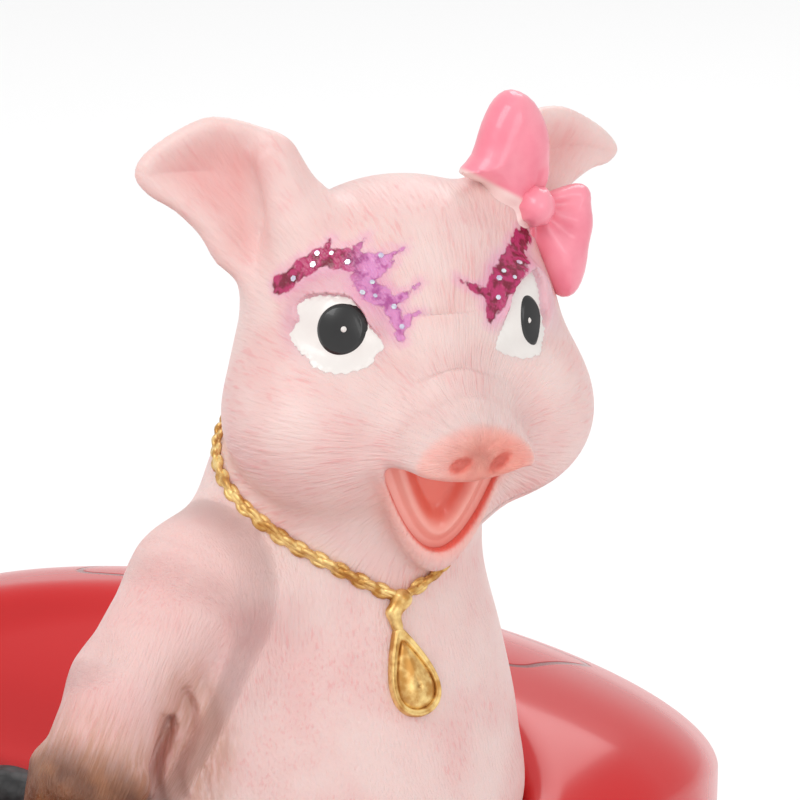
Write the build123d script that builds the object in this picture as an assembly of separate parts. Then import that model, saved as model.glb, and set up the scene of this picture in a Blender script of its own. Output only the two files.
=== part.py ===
from build123d import *
from math import cos, pi, radians, sin
import os

# Pig figurine seated in an open car, a cast and painted resin ornament. Millimetres, +Z up, the origin on
# the ground under the middle of the car, the car's nose towards -Y and its left side towards +X.

# Clearances
peg_clearance = 0.1          # round a peg in its socket
seat_gap = 0.25              # between the pig and the seat that is shaped to it
axle_clearance = 0.15        # round an axle in the casting
lamp_clearance = 0.1         # round a lamp in its seat
cut_margin = 5.0             # how far a cutting form runs past what it cuts
beyond_all = 400.0           # larger than the whole ornament, for forms that cut right through it

# Car body
body_length = 180.0
body_half_width = 47.0
underside_height = 8.5
shoulder_height = 34.0       # level of the widest line at the doors
nose_height = 36.0           # top of the body over the front lamps
cowl_height = 44.0           # top of the body at the windscreen
deck_height = 47.5           # top of the rear deck behind the seats
nose_overhang = 34.0         # from the front axle to the nose of the body
tail_overhang = 32.5         # from the rear axle to the tail of the body
sill_tuck = 3.0              # how far the sill lies inside the widest line
pan_thickness = 3.0
pan_half_width = 26.0
pan_end_margin = 20.0        # from the ends of the body to the ends of the underpan
pan_lip = 2.0                # how far the underpan covers the edge of the casting's hollows
casting_wall = 6.0

# Cockpit
tail_length = 51.0           # from the seat tops to the tail of the body
cockpit_length = 53.0        # from the dashboard wall to the seat tops
cockpit_half_width = 41.0
cockpit_floor = 12.0
seat_top = 34.0              # level of the seat tops
seat_back_thickness = 5.0
seat_back_rake = 2.0         # how far the seat back's face leans from top to cushion
seat_cushion_length = 26.0
seat_cushion_top = 17.0
seat_corner_radius = 4.0
seat_split = 0.4             # between the two seats, on the centre line
bulkhead_rises = ((8.0, 5.5), (15.0, 9.6), (21.0, 12.6), (27.0, 15.0))   # behind and above the seat tops
bulkhead_reach = 22.0        # from the seat tops to the rounded back of the opening
bulkhead_side_gap = 0.5      # how far the rounded back lies inside the cockpit's sides
dash_depth = 6.0
dash_bottom = 27.0
dash_top = 40.0

# Steering
steering_x = 22.0
wheel_rim_radius = 9.0
wheel_rim_thickness = 1.3
wheel_hub_radius = 2.8
wheel_hub_length = 4.0
wheel_spoke_width = 2.2
column_radius = 1.6
column_length = 13.0         # from the dashboard face to the hub
column_rake = 32.0           # degrees that the column climbs towards the driver
column_height = 28.6         # level of the column at the dashboard face

# Windscreen
screen_half_width = 38.0
screen_height = 13.0         # along the glass, above the cowl
screen_rake = 35.0           # degrees that it leans back
screen_frame_width = 1.8
screen_frame_thickness = 2.0
screen_glass_thickness = 0.8
screen_foot = 6.0            # depth of its foot in the cowl
screen_corner_radius = 4.0
screen_taper = 4.0           # how much each side leans in towards the top
screen_setback = 3.0         # from the dashboard wall forward to the foot
screen_sink = 1.0            # from the top of the cowl down to the foot

# Wheels
tyre_radius = 15.5
tyre_width = 13.0
tyre_flat = 0.3              # how far the tyres are cut flat where they stand
tyre_round = 3.0
disc_radius = 9.2
disc_width = 9.0
disc_dish = 2.0
hub_cap_radius = 3.5
hub_cap_thickness = 4.0
axle_radius = 2.0
wheel_inset = 0.8            # from the body's widest line to the tyre's face
arch_gap = 2.5               # round the tyre in the wheel arch
arch_depth = 16.5

# Trim
bumper_height = 5.0
bumper_standoff = 3.0
front_bumper_half_width = 43.0
rear_bumper_half_width = 39.0
bumper_level = 17.5
bumper_wrap = 6.0            # how far the bumper's ends run back round the corner
bumper_thickness = 9.0
bumper_end_thickness = 5.0
bumper_end_taper = 4.0
lamp_radius = 6.5
lamp_rim = 1.0
lamp_depth = 14.0
lamp_x = 30.0
lamp_level = 29.0
lamp_face = 1.5              # how far the rim stands in front of the body's corner
lamp_corner_setback = 5.5    # from the nose to the body's surface at the lamp
tail_lamp_radius = 4.5
tail_lamp_depth = 12.0
tail_lamp_setback = 0.5
tail_lamp_x = 22.0
tail_lamp_level = 27.0
grille_half_width = 15.0
grille_height = 7.0
grille_level = 24.0
grille_depth = 5.0
grille_bars = 5
grille_bar_width = 1.6
handle_length = 9.0
handle_height = 2.2
handle_depth = 2.4
handle_level = 35.5
handle_y = 18.0

# Pig: place and turn in the car
head_centre = Vector(29.8, 39.0, 81.4)
head_turn = 53.0             # degrees from the car's nose towards the pig's left
head_lift = 7.5              # degrees that the chin is lifted
torso_turn = 62.0

# Pig: head, in a frame with the face towards -Y, the pig's left towards +X, measured from head_centre
skull_radii = (14.1, 12.5, 13.0)
skull_centre = (0.0, 1.5, 4.8)
cheek_radii = (17.0, 13.5, 12.5)
cheek_centre = (0.0, 0.0, -2.8)
jaw_radii = (8.0, 8.5, 6.5)
jaw_centre = (0.0, -4.0, -10.5)
snout_reach = 20.6           # from the head's centre to the nose pad
snout_level = -4.4
snout_half_width = 5.0
snout_half_height = 3.0
snout_root_half_width = 9.5
snout_root_half_height = 7.5
snout_root = 6.0
nostril_radius = 0.9
nostril_depth = 1.5
nostril_spacing = 3.5
mouth_half_width = 5.0
mouth_half_height = 3.3
mouth_depth = 6.0            # from the middle of the mouth to its back
mouth_centre = (0.0, -12.5, -10.6)
mouth_droop = 28.0           # degrees that the open mouth points down
tongue_radii = (3.3, 5.0, 1.3)
tongue_centre = (0.0, -9.4, -11.8)
tongue_gap = 0.15            # between the tongue and the mouth that holds it
eye_radius = 5.2
eye_centre = (6.6, 5.3, 5.4)
eye_splay = 43.0             # degrees that each eye looks outwards
eye_plug = 2.6               # from the eye's centre to its flat back
iris_radius = 2.2
iris_thickness = 0.25

# Pig: ears
ear_shell_radius = 15.0
ear_thickness = 1.7
ear_base_top = (7.0, 16.0)
ear_peak = (16.4, 22.6)
ear_tip = (23.2, 17.7)
ear_under = (18.6, 11.6)
ear_base_bottom = (12.0, 7.0)
ear_cup_centre = (13.0, -7.5, 15.5)
ear_peg_radius = 1.5
ear_peg_length = 4.0
ear_peg_root = 2.0           # how far the peg starts inside the ear
ear_peg_inward = (0.9, 0.25, 0.35)

# Pig: trunk, as level ovals from the cushion to the nape
torso_levels = (17.2, 24.0, 32.0, 40.0, 48.0, 56.0, 63.0, 72.0, 81.0)
torso_half_widths = (10.5, 13.0, 13.6, 15.2, 14.0, 12.2, 12.0, 12.2, 8.5)
torso_half_depths = (10.0, 12.6, 13.0, 14.0, 13.2, 12.0, 11.6, 11.8, 8.0)
torso_centres = ((25.0, 22.0), (25.2, 22.6), (25.6, 25.4), (26.0, 30.5), (26.0, 34.0), (25.6, 36.5),
                 (25.0, 38.0), (24.6, 38.8), (25.6, 40.6))
neck_peg_radius = 5.0
neck_peg_length = 7.0

# Pig: limbs, each as joint centres and radii
arm_right_joints = (Vector(22.5, 30.0, 61.5), Vector(18.8, 22.1, 63.0), Vector(17.5, 11.5, 55.8),
                    Vector(18.2, 3.8, 45.6))
arm_right_radii = (7.5, 6.4, 4.7, 4.4)
arm_left_joints = (Vector(31.0, 38.0, 49.0), Vector(36.2, 22.5, 39.5), Vector(30.5, 5.8, 40.9))
arm_left_radii = (5.5, 4.4, 3.6)
leg_right_joints = (Vector(18.0, 15.0, 22.9), Vector(14.0, -2.0, 21.5), Vector(14.0, -4.5, 16.4))
leg_left_joints = (Vector(31.0, 14.0, 22.9), Vector(30.0, -2.0, 21.5), Vector(30.0, -4.5, 16.4))
leg_radii = (5.7, 4.3, 4.0)
limb_peg_radius = 1.8
limb_peg_length = 4.0        # beyond the limb's root, into the trunk
limb_peg_cover = 0.4         # share of the last stretch of the limb that the peg runs into

# Bow, in the head's frame
bow_knot_centre = (11.6, -3.4, 14.6)
bow_knot_radius = 2.6
upper_loop_tip = (9.0, -2.4, 24.0)
upper_loop_half_width = 4.5
upper_loop_half_depth = 3.2
lower_loop_tip = (16.0, -4.0, 9.6)
lower_loop_half_width = 4.2
lower_loop_half_depth = 2.6
loop_root_half_width = 1.9
bow_peg_radius = 1.0
bow_peg_length = 4.5

# Necklace and pendant
chain_width = 1.9
chain_proud = 0.8
chain_front_level = 61.3
chain_tilt = 42.0            # degrees that the chain climbs from the chest to the nape
bail_radius = 1.2
bail_proud = 0.4             # beyond the chain's face
relief_root = 4.0            # how deep the relief starts before the skin is cut from it
pendant_length = 8.4
pendant_half_width = 2.4
pendant_proud = 1.1
pendant_rim = 0.55
pendant_top_level = 59.3
drop_proud = 0.5

# Values worked out from the sizes above
nose_y = -body_length / 2
tail_y = body_length / 2
seat_line = tail_y - tail_length
dash_wall = seat_line - cockpit_length
front_axle_y = nose_y + nose_overhang
rear_axle_y = tail_y - tail_overhang
axle_level = tyre_radius - tyre_flat
wheel_face_x = body_half_width - wheel_inset
wheel_x = wheel_face_x - tyre_width / 2
arch_radius = tyre_radius + arch_gap
head_place = Location(head_centre) * Rot(0, 0, head_turn) * Rot(-head_lift, 0, 0)
SIDES = {"right": -1, "left": 1}
CORNERS = {
    "front_left": (1, front_axle_y),
    "front_right": (-1, front_axle_y),
    "rear_left": (1, rear_axle_y),
    "rear_right": (-1, rear_axle_y),
}
OVAL_POINTS = 12


def oval(half_x, half_y, turn=0.0):
    """A closed smooth outline that always starts on its own +X, so that a loft through several never twists."""
    steps = [2 * pi * i / OVAL_POINTS for i in range(OVAL_POINTS)]
    points = [(half_x * cos(a), half_y * sin(a)) for a in steps]
    return Rot(0, 0, turn) * make_face(Spline(points, periodic=True))


def ellipsoid(radii, centre):
    """A sphere stretched to three radii."""
    return Pos(*centre) * scale(Sphere(1), by=radii)


def rod(start, end, radius):
    """A round bar between two points."""
    along = end - start
    bar = Cylinder(radius, along.length, align=(Align.CENTER, Align.CENTER, Align.MIN))
    return Plane(origin=start, z_dir=along) * bar


def taper(start, end, start_radius, end_radius):
    """A tapered bar with a ball at each end."""
    along = end - start
    bar = Plane(origin=start, z_dir=along) * Cone(
        start_radius, end_radius, along.length, align=(Align.CENTER,) * 2 + (Align.MIN,)
    )
    return bar + Pos(*start) * Sphere(start_radius) + Pos(*end) * Sphere(end_radius)


def x_bar(centre_x, y, z, radius, length):
    """A round bar along X, centred on a point."""
    return Pos(centre_x, y, z) * Rot(0, 90, 0) * Cylinder(radius, length)


# Car

def body_section(y, half_width, bottom, top, shoulder):
    """One cross-section of the body: flat sill, straight sides up to the widest line and a crowned top."""
    sill = half_width - sill_tuck
    crown = EllipticalCenterArc((0, shoulder), half_width, top - shoulder, start_angle=0, arc_size=180)
    sides = Polyline((-half_width, shoulder), (-sill, bottom), (sill, bottom), (half_width, shoulder))
    outline = make_face([crown, sides])
    outline = fillet(outline.vertices().group_by(Axis.Y)[0], sill_tuck)
    return Plane(origin=(0, y, 0), x_dir=(1, 0, 0), z_dir=(0, -1, 0)) * outline


def body_hull():
    """The outside of the car as one smooth loft from nose to tail, cut flat underneath."""
    wide, low, waist = body_half_width, underside_height, shoulder_height
    # Place, half width, sill level, top level and level of the widest line
    stations = (
        (nose_y, wide * 0.64, low + 6, nose_height - 4, waist - 10),
        (nose_y + 6, wide * 0.86, low + 3, nose_height + 0.5, waist - 7.5),
        (front_axle_y, wide * 0.99, low, nose_height + 5, waist - 2.5),
        (dash_wall, wide, low, cowl_height, waist + 3),
        ((dash_wall + seat_line) / 2, wide * 0.99, low, cowl_height - 0.5, waist + 2.5),
        (seat_line + 4, wide, low, deck_height - 1.5, waist + 2),
        (rear_axle_y, wide, low, deck_height, waist + 3),
        (rear_axle_y + 7.5, wide * 0.975, low, deck_height - 0.5, waist + 2.5),
        (tail_y - 15, wide * 0.89, low + 1, deck_height - 3, waist),
        (tail_y - 5, wide * 0.753, low + 3.5, deck_height - 7.5, waist - 4),
        (tail_y, wide * 0.65, low + 7, deck_height - 11, waist - 8),
    )
    below = Box(beyond_all, beyond_all, underside_height, align=(Align.CENTER, Align.CENTER, Align.MIN))
    return loft([body_section(*station) for station in stations]) - below


def bulkhead_roll():
    """What is cut from the deck behind the seats: it rolls up from the seat tops, round-backed from above."""
    above = deck_height + cut_margin
    rises = [(seat_line + back, seat_top + up) for back, up in bulkhead_rises]
    roll = Spline((seat_line, seat_top), *rises)
    front = seat_line - bulkhead_side_gap
    edge = Polyline((seat_line, seat_top), (front, seat_top), (front, above), (rises[-1][0], above), rises[-1])
    profile = make_face([roll, edge])
    wide = extrude(Plane.YZ.offset(-cockpit_half_width) * profile, 2 * cockpit_half_width)
    plan = Ellipse(cockpit_half_width - bulkhead_side_gap, bulkhead_reach)
    return wide & Pos(0, seat_line, 0) * extrude(plan, above)


def cockpit_space():
    """The open space of the cockpit, with the rolled panel behind the seats."""
    above = deck_height + cut_margin
    well = Box(2 * cockpit_half_width, cockpit_length, above - cockpit_floor,
               align=(Align.CENTER, Align.MIN, Align.MIN))
    return Pos(0, dash_wall, cockpit_floor) * well + bulkhead_roll()


def wheel_arches():
    """The four round pockets for the wheels."""
    arches = []
    for side, y in CORNERS.values():
        middle = side * (body_half_width + (cut_margin - arch_depth) / 2)
        arches.append(x_bar(middle, y, axle_level, arch_radius, arch_depth + cut_margin))
    return arches


def axle(y):
    """A plain rod that carries the wheel discs of one pair."""
    return x_bar(0, y, axle_level, axle_radius, 2 * (wheel_face_x - disc_dish - hub_cap_thickness))


def casting_pockets():
    """The hollows under the bonnet and under the rear deck, open at the underside."""
    half = pan_half_width - pan_lip
    bonnet = Box(2 * half, dash_wall - nose_y - 4 * casting_wall, nose_height - 2 * underside_height,
                 align=(Align.CENTER, Align.MAX, Align.MIN))
    boot = Box(2 * half, tail_overhang - pan_end_margin - pan_lip, seat_top - 2 * underside_height,
               align=(Align.CENTER, Align.MIN, Align.MIN))
    return [Pos(0, dash_wall - casting_wall, underside_height) * bonnet,
            Pos(0, rear_axle_y, underside_height) * boot]


def lamp_place(side):
    """The place of a headlamp: on the nose, looking forwards."""
    return Pos(side * lamp_x, nose_y + lamp_corner_setback - lamp_face, lamp_level) * Rot(90, 0, 0)


def lamp_pod(radius, depth):
    """A round bar that runs back from a lamp's face."""
    return Cylinder(radius, depth, align=(Align.CENTER, Align.CENTER, Align.MAX))


def tail_lamp_place(side):
    return Pos(side * tail_lamp_x, tail_y - tail_lamp_setback, tail_lamp_level) * Rot(-90, 0, 0)


def headlamp_rims():
    ring = lamp_pod(lamp_radius, lamp_depth) - lamp_pod(lamp_radius - lamp_rim, lamp_depth - lamp_rim)
    ring = fillet(ring.edges().group_by(Axis.Z)[-1], lamp_rim * 0.4)
    return [lamp_place(side) * ring for side in SIDES.values()]


def headlamp_lenses():
    inner = lamp_radius - lamp_rim - lamp_clearance
    bulge = Pos(0, 0, -inner) * Sphere(inner * 1.4)
    lens = lamp_pod(inner, lamp_depth - lamp_rim) & bulge
    return [lamp_place(side) * lens for side in SIDES.values()]


def tail_lamps():
    lamp = lamp_pod(tail_lamp_radius, tail_lamp_depth)
    lamp = fillet(lamp.edges().group_by(Axis.Z)[-1], tail_lamp_radius * 0.4)
    return [tail_lamp_place(side) * Pos(0, 0, lamp_face) * lamp for side in SIDES.values()]


def grille_pocket():
    return Pos(0, nose_y + (grille_depth - cut_margin) / 2, grille_level) * Box(
        2 * grille_half_width, grille_depth + cut_margin, grille_height)


def grille():
    """A frame with upright bars, let into the nose."""
    block = Pos(0, nose_y + grille_depth / 2, grille_level) * Box(
        2 * grille_half_width, grille_depth, grille_height)
    opening_width = (2 * grille_half_width - (grille_bars + 1) * grille_bar_width) / grille_bars
    step = opening_width + grille_bar_width
    first = -grille_half_width + grille_bar_width + opening_width / 2
    for i in range(grille_bars):
        block -= Pos(first + i * step, nose_y, grille_level) * Box(
            opening_width, grille_depth, grille_height - 2 * grille_bar_width)
    return block


def bumper(end_y, outward, half_width):
    """A bar bowed round one end of the car, shaped to the body behind it."""
    face = end_y + outward * bumper_standoff
    corner = face - outward * bumper_wrap
    bow = ThreePointArc((-half_width, corner), (0, face), (half_width, corner))
    inner_half = half_width - bumper_end_taper
    inner_corner = corner - outward * bumper_end_thickness
    inner = ThreePointArc((-inner_half, inner_corner), (0, face - outward * bumper_thickness),
                          (inner_half, inner_corner))
    plan = make_face([bow, inner, Line(bow @ 0, inner @ 0), Line(bow @ 1, inner @ 1)])
    return extrude(Plane.XY.offset(bumper_level - bumper_height / 2) * plan, bumper_height)


def windscreen_place():
    return Pos(0, dash_wall - screen_setback, cowl_height - screen_sink) * Rot(90 - screen_rake, 0, 0)


def screen_outline(shrink):
    """The windscreen's outline in its own plane, drawn in from the frame's edge by shrink."""
    half = screen_half_width - shrink
    top = screen_height - shrink
    low = -screen_foot if shrink == 0 else shrink - screen_frame_width
    top_half = half - screen_taper
    outline = Polygon((-half, low), (half, low), (top_half, top), (-top_half, top), align=None)
    return fillet(outline.vertices().group_by(Axis.Y)[-1], screen_corner_radius - shrink / 2)


def windscreen_frame():
    slab = extrude(screen_outline(0), screen_frame_thickness / 2, both=True)
    slab -= extrude(screen_outline(screen_frame_width), screen_frame_thickness, both=True)
    return windscreen_place() * slab


def windscreen_pane():
    slab = extrude(screen_outline(screen_frame_width), screen_glass_thickness / 2, both=True)
    return windscreen_place() * slab


def dashboard():
    """The padded board across the front of the cockpit."""
    board = Pos(0, dash_wall, dash_bottom) * Box(
        2 * cockpit_half_width, dash_depth, dash_top - dash_bottom, align=(Align.CENTER, Align.MIN, Align.MIN))
    rear_edges = board.edges().filter_by(Axis.X).group_by(Axis.Y)[-1]
    return fillet(rear_edges, dash_depth * 0.35)


def column_axis():
    """Start on the dashboard's face and direction towards the driver."""
    start = Vector(steering_x, dash_wall + dash_depth, column_height)
    along = Vector(0, cos(radians(column_rake)), sin(radians(column_rake)))
    return start, along


def steering_column():
    start, along = column_axis()
    sunk = start - along * (dash_depth * 0.6)
    return rod(sunk, start + along * (column_length + wheel_hub_length / 2), column_radius)


def steering_wheel():
    """Rim, hub and three spokes in the wheel's own plane."""
    start, along = column_axis()
    plane = Plane(origin=start + along * column_length, x_dir=(1, 0, 0), z_dir=along)
    wheel = Torus(wheel_rim_radius, wheel_rim_thickness)
    hub = Cylinder(wheel_hub_radius, wheel_hub_length, align=(Align.CENTER, Align.CENTER, Align.MIN))
    wheel += hub
    spoke = Box(wheel_rim_radius, wheel_spoke_width, wheel_rim_thickness,
                align=(Align.MIN, Align.CENTER, Align.CENTER))
    for angle in (30, 150, 270):
        wheel += Rot(0, 0, angle) * spoke
    wheel -= Cylinder(column_radius + peg_clearance, wheel_hub_length / 2 + peg_clearance,
                      align=(Align.CENTER, Align.CENTER, Align.MIN))
    wheel -= Pos(0, 0, -wheel_hub_length) * Cylinder(
        column_radius + peg_clearance, wheel_hub_length, align=(Align.CENTER, Align.CENTER, Align.MIN))
    return plane * wheel


def seat(side):
    """Cushion and back in one moulding, one beside the other across the cockpit."""
    back_face = seat_line - seat_back_thickness
    profile = Polygon(
        (back_face - seat_cushion_length, cockpit_floor),
        (seat_line, cockpit_floor),
        (seat_line, seat_top),
        (back_face, seat_top),
        (back_face - seat_back_rake, seat_cushion_top),
        (back_face - seat_cushion_length, seat_cushion_top),
        align=None,
    )
    width = cockpit_half_width - seat_split / 2
    moulding = extrude(Plane.YZ.offset(seat_split / 2) * profile, width)
    top_corners = moulding.edges().filter_by(Axis.Y).group_by(Axis.Z)[-1]
    moulding = fillet(top_corners, seat_corner_radius)
    return moulding if side > 0 else mirror(moulding, about=Plane.YZ)


def tyre(side, y):
    """A plain tyre, cut flat where it stands."""
    half = tyre_width / 2
    profile = Pos(0, (tyre_radius + disc_radius) / 2) * RectangleRounded(
        tyre_width, tyre_radius - disc_radius, tyre_round)
    ring = revolve(profile, Axis.X)
    ring -= Cylinder(disc_radius, 2 * half, rotation=(0, 90, 0))
    ring = Pos(side * wheel_x, y, axle_level) * ring
    ground = Box(beyond_all, beyond_all, tyre_radius, align=(Align.CENTER, Align.CENTER, Align.MAX))
    return ring - ground


def wheel_disc(side, y):
    """A dished disc with a hub cap, bored for the axle."""
    outer = wheel_face_x - disc_dish
    disc = x_bar(outer - disc_width / 2, 0, 0, disc_radius, disc_width)
    disc -= x_bar(outer, 0, 0, disc_radius - disc_dish, 2 * disc_dish)
    disc += x_bar(outer - disc_dish / 2, 0, 0, hub_cap_radius, disc_dish)
    bore_end = outer - hub_cap_thickness + peg_clearance
    disc -= x_bar(bore_end - disc_width, 0, 0, axle_radius + peg_clearance, 2 * disc_width)
    disc = disc if side > 0 else mirror(disc, about=Plane.YZ)
    return Pos(0, y, axle_level) * disc


def underpan():
    """The flat plate that closes the casting underneath."""
    plate = Pos(0, 0, underside_height) * Box(
        2 * pan_half_width, body_length - 2 * pan_end_margin, pan_thickness,
        align=(Align.CENTER, Align.CENTER, Align.MAX))
    return fillet(plate.edges().filter_by(Axis.Z), pan_thickness)


def door_handles(body):
    handles = []
    for side in SIDES.values():
        bar = Box(2 * handle_depth, handle_length, handle_height)
        bar = Pos(side * body_half_width, handle_y, handle_level) * bar
        bar = fillet(bar.edges().filter_by(Axis.X), handle_height * 0.4)
        handles.append(bar - body)
    return handles


# Pig

def head_form():
    """Skull, cheeks, jaw and snout as one rounded form, before anything is cut into it."""
    skull = ellipsoid(skull_radii, skull_centre)
    cheeks = ellipsoid(cheek_radii, cheek_centre)
    jaw = ellipsoid(jaw_radii, jaw_centre)
    stations = (0.0, 0.45, 0.85, 1.0)
    shares = (1.0, 0.42, 0.08, 0.0)
    sections = []
    for station, share in zip(stations, shares):
        reach = snout_root + (snout_reach - snout_root) * station
        half_width = snout_half_width + (snout_root_half_width - snout_half_width) * share
        half_height = snout_half_height + (snout_root_half_height - snout_half_height) * share
        plane = Plane(origin=(0, -reach, snout_level), x_dir=(1, 0, 0), z_dir=(0, -1, 0))
        sections.append(plane * oval(half_width, half_height))
    snout = loft(sections)
    return skull + cheeks + jaw + snout


def mouth_space(shrink=0.0):
    """The open mouth, as ovals that grow from its back wall to beyond the lips."""
    stations = (mouth_depth - shrink, mouth_depth * 0.5, 0.0, -2 * mouth_depth)
    shares = (0.35, 0.85, 1.0, 1.0)
    sections = []
    for station, share in zip(stations, shares):
        plane = Plane(origin=(0, station, 0), x_dir=(1, 0, 0), z_dir=(0, -1, 0))
        sections.append(plane * oval(mouth_half_width * share - shrink, mouth_half_height * share - shrink))
    return Pos(*mouth_centre) * Rot(mouth_droop, 0, 0) * loft(sections)


def eye_axis(side):
    """A plane at the eye's centre that looks out along its gaze."""
    outward = Vector(side * sin(radians(eye_splay)), -cos(radians(eye_splay)), 0)
    centre = Vector(side * eye_centre[0], -eye_centre[1], eye_centre[2])
    return Plane(origin=centre, x_dir=(0, 0, 1), z_dir=outward)


def eye_plug_form(side, grow=0.0):
    """The front cap of the eyeball, flat at its back."""
    cap = Sphere(eye_radius + grow)
    cap &= Pos(0, 0, eye_plug - grow) * Box(
        4 * eye_radius, 4 * eye_radius, 4 * eye_radius, align=(Align.CENTER, Align.CENTER, Align.MIN))
    return eye_axis(side) * cap


def iris(side):
    """A thin raised disc of paint on the front of the eye."""
    skin = Sphere(eye_radius + iris_thickness) - Sphere(eye_radius)
    skin &= Cylinder(iris_radius, 3 * eye_radius, align=(Align.CENTER, Align.CENTER, Align.MIN))
    return eye_axis(side) * skin


def ear_form(side):
    """A leaf-shaped piece of a round shell, hollow towards the front."""
    leaf = make_face([
        Spline([ear_base_top, ear_peak, ear_tip, ear_under, ear_base_bottom]),
        Line(ear_base_bottom, ear_base_top),
    ])
    blade = extrude(Plane(origin=(0, 0, 0), x_dir=(1, 0, 0), z_dir=(0, -1, 0)) * leaf, beyond_all, both=True)
    shell = Pos(*ear_cup_centre) * (Sphere(ear_shell_radius) - Sphere(ear_shell_radius - ear_thickness))
    behind = Pos(0, ear_cup_centre[1], 0) * Box(
        beyond_all, beyond_all, beyond_all, align=(Align.CENTER, Align.MIN, Align.CENTER))
    ear = blade & shell & behind
    return ear if side > 0 else mirror(ear, about=Plane.YZ)


def ear_peg(side, grow=0.0):
    """A round peg from the ear's root into the head."""
    root_x = (ear_base_top[0] + ear_base_bottom[0]) / 2 + ear_peg_root
    root_z = (ear_base_top[1] + ear_base_bottom[1]) / 2
    across = (root_x - ear_cup_centre[0]) ** 2 + (root_z - ear_cup_centre[2]) ** 2
    middle = ear_shell_radius - ear_thickness / 2
    start = Vector(side * root_x, ear_cup_centre[1] + (middle ** 2 - across) ** 0.5, root_z)
    x, y, z = ear_peg_inward
    inward = Vector(-side * x, -y, -z).normalized()
    return rod(start, start + inward * (ear_peg_root + ear_peg_length + grow), ear_peg_radius + grow)


def bow_loop(tip, half_width, half_depth):
    """A puffed loop of ribbon from the knot to its rounded end."""
    knot = Vector(*bow_knot_centre)
    end = Vector(*tip)
    along = end - knot
    across = Vector(0, -1, 0).cross(along).normalized()
    stations = (0.0, 0.35, 0.75, 1.0)
    shares = (0.0, 0.75, 1.0, 0.7)
    sections = []
    for station, share in zip(stations, shares):
        plane = Plane(origin=knot + along * station, x_dir=across, z_dir=along)
        wide = loop_root_half_width + (half_width - loop_root_half_width) * share
        sections.append(plane * oval(wide, half_depth * (0.6 + 0.4 * share)))
    return loft(sections)


def bow_peg(grow=0.0):
    """A peg from the knot into the head."""
    knot = Vector(*bow_knot_centre)
    inward = (Vector(*skull_centre) - knot).normalized()
    return rod(knot, knot + inward * (bow_knot_radius + bow_peg_length + grow), bow_peg_radius + grow)


def torso_form(grow=0.0):
    """The trunk and neck as a loft through level ovals, turned the way the chest faces."""
    sections = []
    for level, wide, deep, (x, y) in zip(torso_levels, torso_half_widths, torso_half_depths, torso_centres):
        sections.append(Pos(x, y, level) * oval(wide + grow, deep + grow, torso_turn))
    return loft(sections)


def neck_peg(grow=0.0):
    x, y = torso_centres[-1]
    return Pos(x, y, torso_levels[-1] - 2) * Cylinder(
        neck_peg_radius + grow, neck_peg_length + 2 + grow, align=(Align.CENTER, Align.CENTER, Align.MIN))


def cut_head():
    """The head with its mouth and nostrils, and the sockets for the neck, eyes, ears and bow."""
    head = head_form() - mouth_space()
    for side in SIDES.values():
        nostril = Pos(side * nostril_spacing / 2, -snout_reach, snout_level) * Rot(90, 0, 0)
        head -= nostril * Cylinder(nostril_radius, 2 * nostril_depth)
        head -= eye_plug_form(side, peg_clearance)
        head -= ear_peg(side, peg_clearance)
    head -= bow_peg(peg_clearance)
    return head_place * head - neck_peg(peg_clearance)


def limb_form(joints, radii):
    """A limb of tapered stretches, from its root to its hoof."""
    limb = taper(joints[0], joints[1], radii[0], radii[1])
    for i in range(1, len(joints) - 1):
        limb += taper(joints[i], joints[i + 1], radii[i], radii[i + 1])
    return limb


def limb_peg(joints, grow=0.0):
    """A peg from inside the limb's last stretch to beyond its root in the trunk."""
    root = joints[0]
    outer = joints[-2] + (joints[-1] - joints[-2]) * limb_peg_cover
    inward = (root - outer).normalized()
    return rod(outer, root + inward * (limb_peg_length + grow), limb_peg_radius + grow)


def largest(shape):
    """The main solid of a cut shape, without the slivers that a cut may leave beside it."""
    return max(shape.solids(), key=lambda solid: solid.volume)


def torso_at(level):
    """Centre and half depth of the trunk at a level, between its ovals."""
    for i in range(len(torso_levels) - 1):
        low, high = torso_levels[i], torso_levels[i + 1]
        if low <= level <= high:
            share = (level - low) / (high - low)
            near, far = torso_centres[i], torso_centres[i + 1]
            centre = tuple(a + (b - a) * share for a, b in zip(near, far))
            deep = torso_half_depths[i] + (torso_half_depths[i + 1] - torso_half_depths[i]) * share
            return centre, deep
    return torso_centres[-1], torso_half_depths[-1]


def chest_plane(level):
    """A plane on the chest at a level: X to the pig's left, Y up, Z out of the chest."""
    (x, y), deep = torso_at(level)
    outward = Vector(sin(radians(torso_turn)), -cos(radians(torso_turn)), 0)
    left = Vector(cos(radians(torso_turn)), sin(radians(torso_turn)), 0)
    return Plane(origin=Vector(x, y, level) + outward * deep, x_dir=left, z_dir=outward)


def necklace_form():
    """A band that lies on the neck, low on the chest and high at the nape."""
    (x, y), deep = torso_at(chain_front_level)
    outward = Vector(sin(radians(torso_turn)), -cos(radians(torso_turn)), 0)
    front = Vector(x, y, chain_front_level) + outward * deep
    tilt = radians(chain_tilt)
    normal = outward * sin(tilt) + Vector(0, 0, cos(tilt))
    slab = Plane(origin=front, z_dir=normal) * Box(beyond_all, beyond_all, chain_width)
    return (torso_form(chain_proud) & slab) - torso_form()


def drop_outline(half_width, length):
    """A pear shape, hung from its point at the origin."""
    low = -length + half_width
    round_end = CenterArc((0, low), half_width, 180, 180)
    left = Spline([round_end @ 0, (-half_width * 0.62, low * 0.45), (-half_width * 0.25, 0)],
                  tangents=[(0, 1), (0.25, 1)])
    right = Spline([(half_width * 0.25, 0), (half_width * 0.62, low * 0.45), round_end @ 1],
                   tangents=[(0.25, -1), (0, -1)])
    return make_face([round_end, left, right, Line(left @ 1, right @ 0)])


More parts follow.
